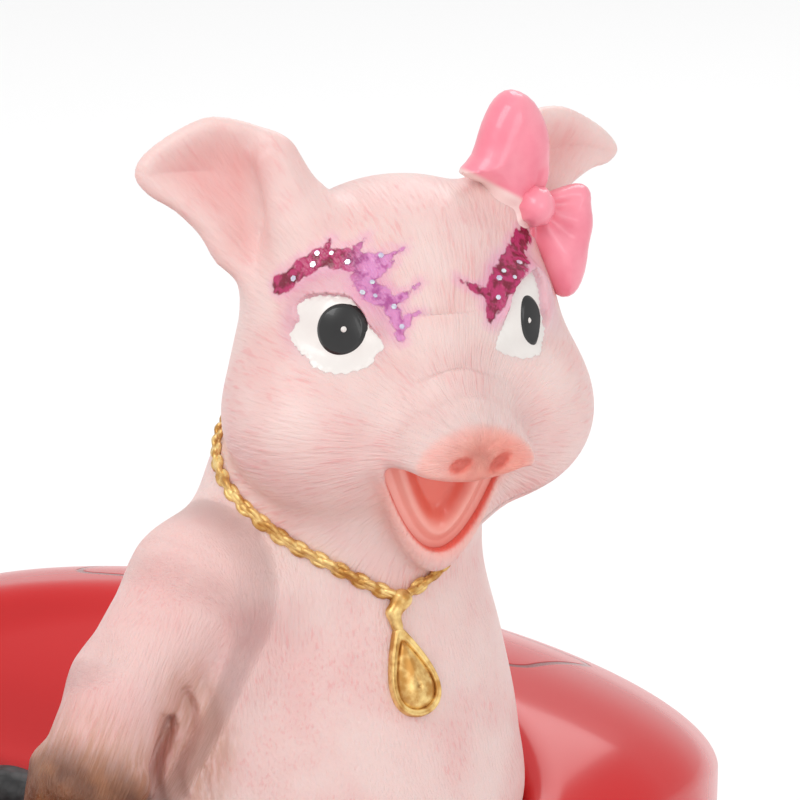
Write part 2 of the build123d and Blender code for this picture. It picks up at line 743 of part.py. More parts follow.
def pendant_frame_form():
    plane = chest_plane(pendant_top_level - pendant_length / 2)
    outline = Pos(0, pendant_length / 2) * drop_outline(pendant_half_width, pendant_length)
    return plane * Pos(0, 0, -relief_root) * extrude(outline, relief_root + pendant_proud)


def pendant_pocket():
    plane = chest_plane(pendant_top_level - pendant_length / 2)
    inner = drop_outline(pendant_half_width - pendant_rim, pendant_length - 2.5 * pendant_rim)
    outline = Pos(0, pendant_length / 2 - 1.5 * pendant_rim) * inner
    return plane * Pos(0, 0, pendant_proud * 0.4) * extrude(outline, cut_margin)


def pendant_drop_form():
    plane = chest_plane(pendant_top_level - pendant_length / 2)
    dome = ellipsoid((pendant_half_width, pendant_length * 0.6, pendant_proud + drop_proud), (0, -1, 0))
    return pendant_pocket() & (plane * dome)


def pendant_bail_form():
    """The small loop between the chain and the pendant."""
    plane = chest_plane(pendant_top_level + bail_radius * 0.6)
    post = extrude(Circle(bail_radius), relief_root + chain_proud + bail_proud)
    return plane * Pos(0, 0, -relief_root) * post


def build():
    parts = {}
    hull = body_hull()
    torso = torso_form()
    head = head_place * head_form()

    body = hull - cockpit_space() - torso_form(seat_gap)
    for cutter in wheel_arches() + casting_pockets():
        body -= cutter
    for y in (front_axle_y, rear_axle_y):
        body -= x_bar(0, y, axle_level, axle_radius + axle_clearance, 4 * body_half_width)
    for side in SIDES.values():
        body -= lamp_place(side) * Pos(0, 0, cut_margin) * lamp_pod(
            lamp_radius + lamp_clearance, lamp_depth + cut_margin)
        body -= tail_lamp_place(side) * Pos(0, 0, cut_margin) * lamp_pod(
            tail_lamp_radius + lamp_clearance, tail_lamp_depth - lamp_face + cut_margin)
    body -= grille_pocket()
    frame = windscreen_frame()
    pane = windscreen_pane()
    body -= frame
    body -= pane
    parts["windscreen_frame"] = frame
    parts["windscreen_pane"] = pane
    parts["grille"] = grille()
    parts["front_bumper"] = bumper(nose_y, -1, front_bumper_half_width) - hull
    parts["rear_bumper"] = bumper(tail_y, 1, rear_bumper_half_width) - hull
    parts["headlamp_rims"] = headlamp_rims()
    parts["headlamp_lenses"] = headlamp_lenses()
    parts["tail_lamps"] = tail_lamps()
    parts["door_handles"] = door_handles(body)
    parts["car_body"] = body
    parts["underpan"] = underpan()
    column = steering_column()
    start, along = column_axis()
    bore = rod(start - along * (dash_depth * 0.6 + peg_clearance), start + along * cut_margin,
               column_radius + peg_clearance)
    parts["dashboard"] = dashboard() - bore
    parts["steering_column"] = column
    parts["steering_wheel"] = steering_wheel()
    for corner, (side, y) in CORNERS.items():
        parts["tyre_" + corner] = tyre(side, y)
        parts["wheel_disc_" + corner] = wheel_disc(side, y)
    parts["front_axle"] = axle(front_axle_y)
    parts["rear_axle"] = axle(rear_axle_y)

    parts["tongue"] = head_place * (ellipsoid(tongue_radii, tongue_centre) & mouth_space(tongue_gap))
    parts["pig_head"] = cut_head()
    for name, side in SIDES.items():
        parts["eye_" + name] = head_place * eye_plug_form(side)
        parts["iris_" + name] = head_place * iris(side)
        parts["pig_ear_" + name] = (head_place * ear_form(side) - head) + head_place * ear_peg(side)
    knot = head_place * (Pos(*bow_knot_centre) * Sphere(bow_knot_radius))
    upper = head_place * bow_loop(upper_loop_tip, upper_loop_half_width, upper_loop_half_depth)
    lower = head_place * bow_loop(lower_loop_tip, lower_loop_half_width, lower_loop_half_depth)
    ear_left = parts["pig_ear_left"]
    parts["bow_knot"] = (knot - head - ear_left) + head_place * bow_peg()
    parts["bow_loop_upper"] = upper - head - knot - ear_left
    parts["bow_loop_lower"] = lower - head - knot - ear_left - upper

    trunk = torso - head + neck_peg()
    seats = {"driver_seat": seat(1), "passenger_seat": seat(-1)}
    seats["driver_seat"] -= torso_form(seat_gap)
    limbs = {
        "pig_arm_right": (arm_right_joints, arm_right_radii),
        "pig_arm_left": (arm_left_joints, arm_left_radii),
        "pig_leg_right": (leg_right_joints, leg_radii),
        "pig_leg_left": (leg_left_joints, leg_radii),
    }
    for name, (joints, radii) in limbs.items():
        parts[name] = largest(limb_form(joints, radii) - torso - head) + limb_peg(joints)
        trunk -= limb_peg(joints, peg_clearance)
    parts.update(seats)
    chain = necklace_form() - head - parts["pig_arm_right"] - parts["pig_arm_left"]
    pendant = pendant_frame_form() - torso
    bail = pendant_bail_form() - torso - pendant
    parts["necklace_chain"] = chain - bail - pendant
    parts["pendant_bail"] = bail
    parts["pendant_frame"] = pendant - pendant_pocket()
    parts["pendant_drop"] = pendant_drop_form() - torso
    parts["pig_torso"] = largest(trunk)
    return parts


def solids_of(shape):
    """The solids of a piece, whether it is one shape or a list of them."""
    shapes = shape if isinstance(shape, list) else [shape]
    return [solid for item in shapes for solid in item.solids()]


def main():
    os.makedirs("parts", exist_ok=True)
    for name, shape in build().items():
        solids = solids_of(shape)
        export_step(solids[0] if len(solids) == 1 else Compound(children=solids), f"parts/{name}.step")


main()
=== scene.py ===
from itertools import product
from math import cos, pi, radians, sin

import bpy
import numpy as np
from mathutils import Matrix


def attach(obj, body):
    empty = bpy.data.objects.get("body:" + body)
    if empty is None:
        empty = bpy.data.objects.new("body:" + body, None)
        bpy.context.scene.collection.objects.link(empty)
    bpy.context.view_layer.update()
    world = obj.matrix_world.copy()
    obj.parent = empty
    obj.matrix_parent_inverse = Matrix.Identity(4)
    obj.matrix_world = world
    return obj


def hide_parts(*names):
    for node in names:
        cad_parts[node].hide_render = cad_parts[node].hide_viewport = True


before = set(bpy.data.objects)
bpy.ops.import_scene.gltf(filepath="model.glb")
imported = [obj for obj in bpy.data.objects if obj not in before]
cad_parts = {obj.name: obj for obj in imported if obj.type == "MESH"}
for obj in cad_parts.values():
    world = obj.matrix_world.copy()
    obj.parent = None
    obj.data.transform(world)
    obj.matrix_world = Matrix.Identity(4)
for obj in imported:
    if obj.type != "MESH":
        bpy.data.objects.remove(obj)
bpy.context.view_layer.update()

import openvdb
from mathutils import Vector

# Sizes are in millimetres until a mesh is made
MM = 0.001

# Camera of the photo
CAMERA_PLACE = (308.51, -375.34, 226.47)
CAMERA_TARGET = (29.706, 38.002, 78.785)
CAMERA_LENS = 257.4
SENSOR_WIDTH = 36

# Stage: lights as name, place, size and power, what they aim at, the sky and the floor
LIGHTS = (
    ("key", (-160, -460, 560), 320, 1.3),
    ("fill", (420, -260, 260), 260, 0.4),
    ("rim", (-120, 420, 460), 260, 0.6),
)
LIGHT_TARGET = (20, 30, 50)
SKY_STRENGTH = 0.85
FLOOR_REACH = 3000

# Head: its place, its turn and lift, and forms as (pig's left, forward, up)
HEAD_CENTRE = (29.8, 39.0, 81.4)
HEAD_TURN = radians(53)
HEAD_LIFT = radians(7.5)
SKULL = ((0, -1.5, 4.8), (14.4, 12.5, 13.0))
CHEEKS = ((0, -0.2, -2.8), (16.4, 13.0, 11.8))
CHEEK_PUFF = ((9.4, 3.2, -3.6), (7.4, 8.6, 7.6))
CHEEK_SHIFT = (0.7, 0, 0)
JAW = ((0, 1.5, -10.0), (7.0, 7.8, 6.2))
SNOUT_STATIONS = (4.0, 7.2, 10.2, 13.2, 16.2, 19.2)
SNOUT_ROWS = (
    (9.8, 6.2, -7.0), (8.3, 4.8, -7.0), (7.0, 3.1, -7.1), (6.1, 1.4, -7.3), (5.4, -0.7, -7.6),
    (5.1, -2.7, -8.0),
)
SNOUT_SQUARE = 1.9
SNOUT_NARROW = 0.28
SNOUT_END = 19.4
PAD_LEVEL = -4.6
PAD_LEAN = 0.12
PAD_ROUND = 0.012
WRINKLES = ((12.1, 0.85), (14.3, 0.95), (16.4, 0.45))
WRINKLE_BEND = 0.06
WRINKLE_HALF = 3.9
WRINKLE_SLOPES = (0.6, 1.1)
NOSTRIL = ((1.85, 19.7, -5.75), (1.1, 1.1, 0.66))
NOSTRIL_TILTS = (-0.2, 0.5)
MOUTH_SHIFT = 0.75
MOUTH_FLOOR = -14.95
MOUTH_ROOF = -8.0
MOUTH_BACK = 2.6
MOUTH_CURVE = 0.262
MOUTH_SMILE = 0.25
LIP = 2.3
LIP_FRONT = 9.8
LIP_LEAN = 0.3
EYE_CENTRE = (6.7, 5.0, 5.4)
EYE_RADIUS = 5.2
EYE_SPLAY = radians(43)
EYE_FRONT = (10.0, 8.0, 5.4)
LID_THICKNESS = 0.75
LID_WIDTH = 2.2
LID_GAP = 0.2

# Painted eyes and brows, as (outward, up) from an eye's centre
EYE_WHITE = (
    (3.3, 2.4), (2.0, 3.1), (0.5, 3.3), (-1.4, 3.2), (-2.2, 2.7), (-3.1, 1.6), (-3.6, 0.5),
    (-4.7, -0.9), (-4.7, -1.6), (-4.0, -2.2), (-4.0, -2.7), (-2.9, -3.2), (-1.4, -3.5), (0.3, -3.1),
    (1.2, -2.7), (1.6, -2.2), (2.8, -1.5), (4.0, -0.2), (3.0, 1.1), (3.5, 1.8),
)
EYE_WHITE_LEFT = (
    (0.7, 3.7), (-1.9, 3.2), (-3.4, 2.0), (-4.1, 0.5), (-5.2, -1.0), (-6.0, -2.2), (-5.2, -2.9),
    (-3.5, -3.6), (-1.6, -3.4), (-0.8, -2.5), (-0.2, -1.8), (-0.3, -0.9), (-0.6, 0.0), (-0.6, 1.2),
    (0.2, 2.7),
)
IRIS_PLACE = (-1.2, 0.4)
IRIS_PLACE_LEFT = (-1.95, -0.3)
IRIS_RADIUS = 2.3
IRIS_NARROW = (1.0, 0.5)
# A white dot on each iris, a painted highlight: its shift from the iris's middle and its radius
GLINT_SHIFT = (-0.4, 0.05)
GLINT_RADIUS = 0.5
BROW_RIGHT = (
    ((5.9, 3.8), (4.2, 4.9), (3.2, 5.6), (2.0, 6.25), (-0.4, 6.3), (-3.0, 5.8), (-3.6, 5.9)),
    ((-2.3, 5.2), (-3.4, 3.7), (-4.8, 2.6), (-6.0, 0.6), (-6.1, -0.5)),
)
BROW_LEFT = (
    ((3.4, 6.7), (1.4, 6.0), (-0.2, 5.3), (-1.8, 4.7), (-3.1, 3.9)),
    ((-3.1, 3.9), (-4.6, 2.4), (-5.4, 1.0), (-5.9, 0.2)),
)
BROW_SPIKES = (
    ((1.5, 6.4), (1.3, 7.8)), ((-0.9, 6.4), (-2.0, 8.0)), ((-3.2, 5.8), (-5.2, 6.9)),
    ((-3.2, 4.6), (-4.8, 6.0)), ((-6.2, 0.6), (-7.2, 1.5)), ((-5.2, 2.4), (-6.9, 3.9)),
)
BROW_HALF = (0.78, 0.62)

# Glitter flakes in the brows: how many to a square metre, and their sizes
FLAKE_DENSITY = 0.6e6
FLAKE_SPACING = 0.85
FLAKE_RADIUS = 0.27
FLAKE_THICKNESS = 0.1
FLAKE_SCALES = (0.7, 1.15)
FLAKE_SEED = 7

# Tongue: how far behind the lip it lies, how far its middle is dished, and the groove round it
TONGUE_SINK = 0.9
TONGUE_DISH = 1.5
TONGUE_GROOVE = 0.5

# Bow, as (pig's left, up) in the head's frame, with the level of its middle forward
BOW_UPPER = (
    (5.0, 17.9), (6.3, 19.5), (7.4, 22.3), (8.7, 24.4), (10.3, 25.1), (12.2, 23.9), (13.4, 21.2),
    (13.5, 18.6), (12.9, 15.9), (11.6, 14.0), (9.4, 15.3), (7.4, 16.6),
)
BOW_LOWER = (
    (11.4, 14.4), (12.9, 15.7), (14.8, 15.7), (16.6, 15.8), (17.5, 14.7), (17.3, 12.0), (16.5, 8.0),
    (15.3, 6.0), (13.7, 6.1), (12.4, 8.8), (11.2, 11.8),
)
BOW_KNOT = ((11.7, 3.6, 14.5), (1.7, 2.4, 1.9))
BOW_FORWARD = 2.6
BOW_HALF_DEPTH = (2.7, 2.2)
BOW_ROUND = 2.6
BOW_STUB = ((9.4, 2.0, 12.8), (9.9, 2.4, 17.2), 2.2, 2.0)
BOW_MOUTH = ((5.0, 4.4, 15.2), (9.2, 4.9, 14.2), 1.3, 1.1)

# Necklace round the neck and its pendant
NECK = (24.8, 38.6)
CHAIN_TURN = radians(-38)
CHAIN_ANGLES = (0, 15, 30, 45, 60, 75, 98, 120, 150, 180)
CHAIN_LEVELS = ((62.5,), (64.2,), (66.0,), (67.7,), (69.9,), (72.0,), (74.2,), (75.4,), (76.6,), (77.0,))
CHAIN_RISE = 3.6
CHAIN_CLING = 0.8
CHAIN_LIFT = 0.2
NECK_REACH = (6.0, 24.0, 0.06)
LINK_COUNT = 84
LINK_RADIUS = 0.48
LINK_STRETCH = (1.35, 0.95, 1.0)
LINK_ROLL = radians(55)
WIRE_RADIUS = 0.31
STRIP_RADIUS = 0.4
PENDANT_LEVEL = 56.3
PENDANT_HALF_LENGTH = 4.2
PENDANT_HALF_WIDTH = 2.45
PENDANT_TILT = radians(9)
PENDANT_SIDES = 56
PENDANT_RIM = (
    (1.0, -0.6), (1.02, 0.1), (1.0, 0.55), (0.95, 0.78), (0.9, 0.7), (0.87, 0.62), (0.83, 0.74),
    (0.78, 0.62), (0.74, 0.3), (0.74, -0.6),
)
PENDANT_DOME = (
    (0.02, -0.6), (0.77, -0.6), (0.77, 0.3), (0.7, 0.62), (0.58, 0.86), (0.42, 1.04), (0.24, 1.14),
    (0.02, 1.18),
)
BAIL_KNEE = (1.3, 0.35)
BAIL_RADII = (0.55, 0.62, 0.95)

# Ear outlines as (out, up), the right one taller, and the roll at the inner edge
EAR_RIGHT = (
    (7.6, 16.4), (8.9, 19.0), (10.6, 21.8), (12.5, 23.2), (16.2, 24.2), (19.1, 23.2), (22.2, 21.0),
    (23.1, 19.0), (22.0, 17.2), (19.9, 15.7), (17.9, 13.4), (16.6, 10.8), (14.6, 9.2), (12.5, 7.5),
    (9.5, 9.5),
)
EAR_LEFT = (
    (7.6, 16.4), (8.9, 19.0), (11.2, 21.4), (14.0, 22.6), (17.3, 22.5), (20.7, 20.8), (22.9, 19.0),
    (23.5, 17.6), (22.3, 16.6), (20.4, 16.3), (18.4, 15.4), (16.5, 14.0), (14.8, 11.2), (12.8, 8.4),
    (9.5, 9.5),
)
EAR_ROLL = ((8.2, -1.0, 8.0), (9.7, 0.4, 14.6), (11.4, -0.6, 20.2))
EAR_ROLL_RADII = (3.0, 2.6, 1.9)
EAR_ROOT = (8.0, 0.4)
EAR_LEAN = 0.42
EAR_BOWL = 1.8
EAR_BOWL_REACH = 5.5
EAR_HALF_THICKNESS = 0.95
EAR_NEAR = ((4, 27), (3, 27))

# Trunk: levels, then centre and half sizes at each
TORSO_TURN = radians(62)
TORSO_LEVELS = (17.2, 24, 32, 40, 48, 56, 63, 72, 81)
TORSO_ROWS = (
    (25.0, 22.0, 10.5, 10.0), (25.2, 22.6, 13.8, 12.8), (25.0, 25.0, 16.2, 14.0), (26.2, 30.4, 19.0, 15.2),
    (25.4, 33.3, 17.8, 14.2), (25.4, 36.3, 14.2, 12.6), (24.6, 37.8, 12.1, 11.7), (23.9, 38.2, 12.7, 12.3),
    (25.6, 40.2, 10.2, 9.6),
)
TORSO_TOP = 80.0

# Limbs: joints and radii along them, the shoulder, the web under the right arm, and the hooves' toes
ARM_RIGHT = (
    ((22.5, 30.0, 61.5), 7.5), ((18.4, 22.0, 63.0), 6.3), ((17.3, 11.8, 56.4), 4.5),
    ((18.0, 5.0, 48.4), 4.8),
)
ARM_LEFT = (((31.0, 38.0, 49.0), 5.5), ((36.2, 22.5, 39.5), 4.4), ((30.5, 5.8, 40.9), 3.3))
LEG_RIGHT = (((18.0, 15.0, 22.9), 5.7), ((14.0, -2.0, 21.5), 4.3), ((14.0, -4.5, 16.4), 3.8))
LEG_LEFT = (((31.0, 14.0, 22.9), 5.7), ((30.0, -2.0, 21.5), 4.3), ((30.0, -4.5, 16.4), 3.8))
LIMBS = (ARM_RIGHT, ARM_LEFT, LEG_RIGHT, LEG_LEFT)
SHOULDER_SLOPE = (((19.6, 32.6, 69.2), 6.0), ((18.4, 23.0, 63.2), 5.4))
ARM_WEB = (((21.6, 22.6, 56.0), 5.2), ((21.2, 15.2, 45.0), 4.4))
ARM_FOLD = 0.2
HOOF_SPREAD = (1.0, 0.35, 0.0)
HOOF_LENGTH = 3.2
HOOF_HEEL = 1.5
TOE_GAP = 0.48
TOE_SPREAD = (1.1, 1.2)
TOE_SHARES = (0.66, 0.42)
JOINT_BLEND = 1.5
# Middle and reach of the web under the right arm, for its creases and its brown painted shade
ARMPIT = (22.6, 14.0, 51.5)
ARMPIT_REACH = (5.5, 5.0, 8.5)

# Blush on the right arm, and how the hair strokes fan out and are drawn long
ARM_BLUSH = 0.4
FACE_STROKES = (12, 0.12)
TRUNK_STROKES = 0.13
ARM_STROKES = 0.13

# Levels below which the limbs, and above which the head, are worked out
LIMBS_BELOW = 80.0
HEAD_ABOVE = 58.0

# Car body: stations along it, then half width, top, widest line and sill at each
BODY_STATIONS = (-90, -84, -56, -14, 12.5, 43, 57.5, 65, 75, 85, 90)
BODY_ROWS = (
    (30.1, 32.0, 24.0, 14.5), (40.4, 36.5, 26.5, 11.5), (46.5, 41.0, 31.5, 8.5), (47.0, 44.0, 37.0, 8.5),
    (46.5, 43.5, 36.5, 8.5), (47.0, 46.0, 36.0, 8.5), (47.0, 47.5, 37.0, 8.5), (45.8, 47.0, 36.5, 8.5),
    (41.8, 44.5, 34.0, 9.5), (35.4, 40.0, 30.0, 12.0), (30.5, 36.5, 26.0, 15.5),
)
BODY_END = 90.0
BODY_JOIN = -15.5
SILL_TUCK = 0.07
SILL_ROUND = 3.0
END_ROUND = 5.0

# Cockpit and the roll behind it
COCKPIT_HALF = 41.0
COCKPIT_FRONT = -14.0
COCKPIT_BACK = 39.0
COCKPIT_FLOOR = 12.0
BULKHEAD_STATIONS = (38, 41, 47, 54, 60, 66)
BULKHEAD_LEVELS = ((33.0,), (34.5,), (39.5,), (43.6,), (46.6,), (49.0,))
BULKHEAD_REACH = 22.0

# Bumpers, lamps, grille and door handles
BUMPERS = (("front_bumper", -1, 43.0), ("rear_bumper", 1, 40.0))
BUMPER_LEVEL = 17.5
BUMPER_OFF = 0.9
BUMPER_HALF_HEIGHT = 2.5
BUMPER_DEPTH = 1.4
BUMPER_PLACES = 41
LAMP_PLACE = (29.0, 28.5)
LAMP_WAY = (0.16, -1.0, 0.12)
LAMP_RADIUS = 6.3
LAMP_RIM = 0.7
LAMP_RISE = 2.6
LAMP_DEPTH = 7.0
LENS_BACK = 6.0
LENS_ROUND = 9.6
GRILLE_LEVEL = 24.4
GRILLE_HALF = (15.0, 3.9)
GRILLE_PITCH = 3.2
GRILLE_RISE = 0.9
GRILLE_CORNER = 3.0
GRILLE_RIM = 0.6
GRILLE_BAR = 0.35
GRILLE_BEHIND = -70.0
HANDLE_ENDS = ((48.4, 12.5, 35.5), (48.4, 23.5, 35.5))
HANDLE_RADIUS = 0.9
HANDLE_POST = (1.2, 4.0)

# Wheels, with profiles as (radius, outward), seats and windscreen
WHEEL_STATIONS = (-56.0, 57.5)
WHEEL_LEVEL = 15.2
WHEEL_SIDES = 72
WHEEL_MIDDLE = 39.7
TYRE_HALF = ((9.2, 5.2), (9.9, 6.0), (12.0, 6.5), (13.8, 6.35), (14.9, 5.6), (15.35, 4.6), (15.5, 3.3))
TREAD_RADII = (15.5, 14.8)
TREAD_HALVES = (0.5, 0.3)
TREAD_GROOVES = (2.6, 0.0, -2.6)
DISC_PROFILE = (
    (0.02, 45.1), (1.4, 45.0), (2.6, 44.6), (3.4, 43.9), (3.7, 43.0), (4.5, 42.6), (6.2, 42.7),
    (7.3, 43.4), (8.2, 44.7), (8.8, 45.2), (9.3, 45.0), (9.35, 43.8), (9.35, 36.0), (0.02, 36.0),
)
SEAT_CUSHION = ((0.3, 8.0, 12.0), (40.9, 36.0, 17.5))
SEAT_BACK = ((0.3, 33.2, 13.0), (40.9, 38.9, 34.6))
SEAT_ROUND = 2.4
SEAT_PLEAT = 0.5
SEAT_PLEAT_PITCH = 5.8
SCREEN_FOOT = (-17.0, 43.0)
SCREEN_RAKE = radians(35)
SCREEN_HEIGHT = 11.6
SCREEN_HALF = 38.0
SCREEN_TAPER = 0.009
SCREEN_RIM = 0.9
SCREEN_SUNK = 2.0
SCREEN_CORNER = 4.0

# Shut lines and wheel arches
PANEL_LEVEL = 30.0
BOOT_LID = ((0, 69.5), (27.0, 7.5), 3.0)
BONNET = ((0, -50), (30.0, 29.0), 7.0)
DOOR = ((12, 40), (23.0, 25.0), 5.0)
ARCH_RADIUS = 18.0
ARCH_INSIDE = 30.5

# Steps of the meshes, and the boxes that they are made in, the tongue's and the bow's in the head's frame
SKIN_STEP = 0.26
TRUNK_STEP = 0.38
EYE_STEP = 0.12
BODY_STEP = 0.7
HEAD_BOX = ((4, 14, 58), (56, 66, 110))
TRUNK_BOX = ((2, -12, 8), (58, 62, 84))
TONGUE_BOX = ((-8, 2, -16), (8, 15, -6))
BOW_UPPER_BOX = ((3, -2, 11), (16, 7, 28))
BOW_LOWER_BOX = ((8, -2, 3), (20, 7, 18))
BOW_KNOT_BOX = ((8, -1, 10), (15, 8, 19))
LAMP_BOX = ((-40, -100, 19), (40, -74, 39))
GRILLE_BOX = ((-20, -96, 17), (20, -82, 32))
HANDLE_BOX = ((-51, 9, 33), (51, 27, 38))
SCREEN_BOX = ((-40, -24, 36), (40, -4, 56))
BLOCK = 8
FAR = 50.0


# Distance fields

def smooth_union(a, b, width):
    share = np.clip(0.5 + 0.5 * (b - a) / width, 0, 1)
    return b + (a - b) * share - width * share * (1 - share)


def smooth_cut(a, b, width):
    return -smooth_union(-a, b, width)


def smooth_overlap(a, b, width):
    return -smooth_union(-a, -b, width)


def ramp(value, low, high):
    share = np.clip((value - low) / (high - low), 0, 1)
    return share * share * (3 - 2 * share)


def ball(p, centre, radii):
    q = p - np.asarray(centre, float)
    radii = np.asarray(radii, float)
    near = np.sqrt(np.sum((q / radii) ** 2, axis=-1))
    slope = np.sqrt(np.sum((q / radii ** 2) ** 2, axis=-1)) + 1e-6
    return near * (near - 1) / slope


def bar(p, start, end, start_radius, end_radius):
    start, end = np.asarray(start, float), np.asarray(end, float)
    axis = end - start
    share = np.clip((p - start) @ axis / (axis @ axis), 0, 1)
    gap = p - start - share[..., None] * axis
    return np.sqrt(np.sum(gap * gap, axis=-1)) - start_radius - (end_radius - start_radius) * share


def oval(x, y, half_x, half_y):
    near = np.sqrt((x / half_x) ** 2 + (y / half_y) ** 2)
    slope = np.sqrt((x / half_x ** 2) ** 2 + (y / half_y ** 2) ** 2) + 1e-6
    return near * (near - 1) / slope


def curve(t, knots, rows):
    """Smooth interpolation through rows of values at the knots, flat beyond the ends."""
    knots = np.asarray(knots, float)
    rows = np.asarray(rows, float)
    slopes = np.gradient(rows, knots, axis=0)
    i = np.clip(np.searchsorted(knots, t) - 1, 0, len(knots) - 2)
    span = (knots[i + 1] - knots[i])[..., None]
    s = np.clip((t - knots[i])[..., None] / span, 0, 1)
    start = (1 + 2 * s) * (1 - s) ** 2 * rows[i] + s * (1 - s) ** 2 * span * slopes[i]
    return start + s * s * (3 - 2 * s) * rows[i + 1] + s * s * (s - 1) * span * slopes[i + 1]


def rounded(points, count):
    """A closed outline through the points, with count places between each pair."""
    points = np.asarray(points, float)
    before, after, later = np.roll(points, 1, 0), np.roll(points, -1, 0), np.roll(points, -2, 0)
    out = []
    for s in np.arange(count) / count:
        square = (2 * before - 5 * points + 4 * after - later) * s * s
        cube = (3 * points - before - 3 * after + later) * s ** 3
        out.append(0.5 * (2 * points + (after - before) * s + square + cube))
    return np.stack(out, 1).reshape(-1, points.shape[1])


def outline_distance(x, y, outline):
    """Distance to a closed outline in a plane, below zero inside it."""
    best = np.full(x.shape, 1e6)
    inside = np.zeros(x.shape, bool)
    for (x0, y0), (x1, y1) in zip(outline, np.roll(outline, -1, 0)):
        dx, dy = x1 - x0, y1 - y0
        share = np.clip(((x - x0) * dx + (y - y0) * dy) / (dx * dx + dy * dy), 0, 1)
        best = np.minimum(best, (x - x0 - share * dx) ** 2 + (y - y0 - share * dy) ** 2)
        crosses = (y0 > y) != (y1 > y)
        if dy:
            inside ^= crosses & (x < x0 + (y - y0) * dx / dy)
    return np.where(inside, -1, 1) * np.sqrt(best)


# Pig

def head_axes():
    left = np.array((cos(HEAD_TURN), sin(HEAD_TURN), 0))
    level = cos(HEAD_LIFT)
    forward = np.array((sin(HEAD_TURN) * level, -cos(HEAD_TURN) * level, sin(HEAD_LIFT)))
    return np.stack((left, forward, np.cross(forward, left)), axis=1)


HEAD_AXES = head_axes()
EAR_LEAVES = (rounded(EAR_RIGHT, 3), rounded(EAR_LEFT, 3))
BOW_UPPER_EDGE = rounded(BOW_UPPER, 3)
BOW_LOWER_EDGE = rounded(BOW_LOWER, 3)
EYE_WHITE_EDGES = (rounded(EYE_WHITE, 2), rounded(EYE_WHITE_LEFT, 2))


def to_head(p):
    return (p - np.array(HEAD_CENTRE)) @ HEAD_AXES


def from_head(q):
    return np.asarray(q, float) @ HEAD_AXES.T + np.array(HEAD_CENTRE)


def folded(q):
    return np.concatenate((np.abs(q[..., :1]), q[..., 1:]), axis=-1)


def to_eye(side):
    """Outward, up and facing distances from an eye's centre, for a point folded to one side."""
    gap = side - np.array(EYE_CENTRE)
    outward = gap[..., 0] * cos(EYE_SPLAY) - gap[..., 1] * sin(EYE_SPLAY)
    facing = gap[..., 0] * sin(EYE_SPLAY) + gap[..., 1] * cos(EYE_SPLAY)
    return outward, gap[..., 2], facing


def before_pad(q):
    """Distance in front of the snout's pad, which leans and is a little round."""
    return q[..., 1] - SNOUT_END - PAD_LEAN * (q[..., 2] - PAD_LEVEL) + PAD_ROUND * q[..., 0] ** 2


def snout_field(q):
    rows = curve(q[..., 1], SNOUT_STATIONS, SNOUT_ROWS)
    half_width, top, bottom = rows[..., 0], rows[..., 1], rows[..., 2]
    half_height = (top - bottom) / 2
    height = q[..., 2] - (top + bottom) / 2
    narrow = 1 - SNOUT_NARROW * np.clip(height / half_height, -1.2, 1.2)
    reach = np.where(height < 0, half_height * SNOUT_SQUARE, half_height)
    section = oval(q[..., 0] / narrow, height, half_width, reach)
    section = smooth_overlap(section, bottom + 0.3 - q[..., 2], 2.0)
    back = SNOUT_STATIONS[0] - q[..., 1]
    return np.maximum(smooth_overlap(section, before_pad(q), 1.2), back)


def wrinkle_rise(q):
    """Folds across the top of the snout, steep behind and soft in front."""
    along = q[..., 1] + WRINKLE_BEND * q[..., 0] ** 2
    upper = ramp(q[..., 2], -3.5, -1.0) * np.exp(-(q[..., 0] / WRINKLE_HALF) ** 2)
    rise = np.zeros(along.shape)
    for place, height in WRINKLES:
        gap = along - place
        rise += height * np.exp(-(gap / np.where(gap < 0, *WRINKLE_SLOPES)) ** 2)
    return rise * upper


def nostril_field(q):
    side = folded(q)
    tilted = side.copy()
    tilt = np.where(q[..., 0] < 0, *NOSTRIL_TILTS)
    tilted[..., 2] -= tilt * (side[..., 0] - NOSTRIL[0][0])
    return ball(tilted, *NOSTRIL)


def below_valley(q, level):
    """Distance below a round valley whose floor has a level in the middle."""
    across = q[..., 0] + MOUTH_SHIFT
    return (level + MOUTH_CURVE * across ** 2 - q[..., 2]) / np.sqrt(1 + (2 * MOUTH_CURVE * across) ** 2)


def above_roof(q):
    """Distance above the mouth's roof, which rises to the corners of the smile."""
    return q[..., 2] - MOUTH_ROOF - MOUTH_SMILE * np.sqrt((q[..., 0] + MOUTH_SHIFT) ** 2 + 0.5)


def mouth_field(q):
    """The open mouth: a bowl below the snout, narrow at the chin."""
    roof = above_roof(q)
    back = MOUTH_BACK - 0.35 * roof - q[..., 1]
    return smooth_overlap(smooth_overlap(below_valley(q, MOUTH_FLOOR), roof, 1.0), back, 2.0)


def lower_lip_field(q):
    """The jaw's lip, which follows the mouth's floor like the side of a spoon."""
    outer = smooth_overlap(below_valley(q, MOUTH_FLOOR - LIP), above_roof(q) + 0.6, 1.5)
    return smooth_overlap(smooth_overlap(outer, before_lip(q), 1.6), -q[..., 1], 2.0)


def before_lip(q):
    """Distance in front of the lip's sloping rim."""
    return (q[..., 1] - LIP_FRONT - LIP_LEAN * (q[..., 2] - MOUTH_FLOOR)) / np.sqrt(1 + LIP_LEAN ** 2)


def side_distance(q, x, y, edges):
    """Distance to the outline on a place's own side, with the right side's outline first."""
    d = np.empty(x.shape)
    for here, edge in zip((q[..., 0] < 0, q[..., 0] >= 0), edges):
        d[here] = outline_distance(x[here], y[here], edge)
    return d


def ear_sheet(q):
    """How far in front of the ear's sheet a place is, and its distance from the leaf's outline."""
    out = np.abs(q[..., 0])
    leaf = side_distance(q, out, q[..., 2], EAR_LEAVES)
    sheet = EAR_ROOT[1] - EAR_LEAN * (out - EAR_ROOT[0]) - EAR_BOWL * ramp(-leaf, 0.0, EAR_BOWL_REACH)
    return q[..., 1] - sheet, leaf


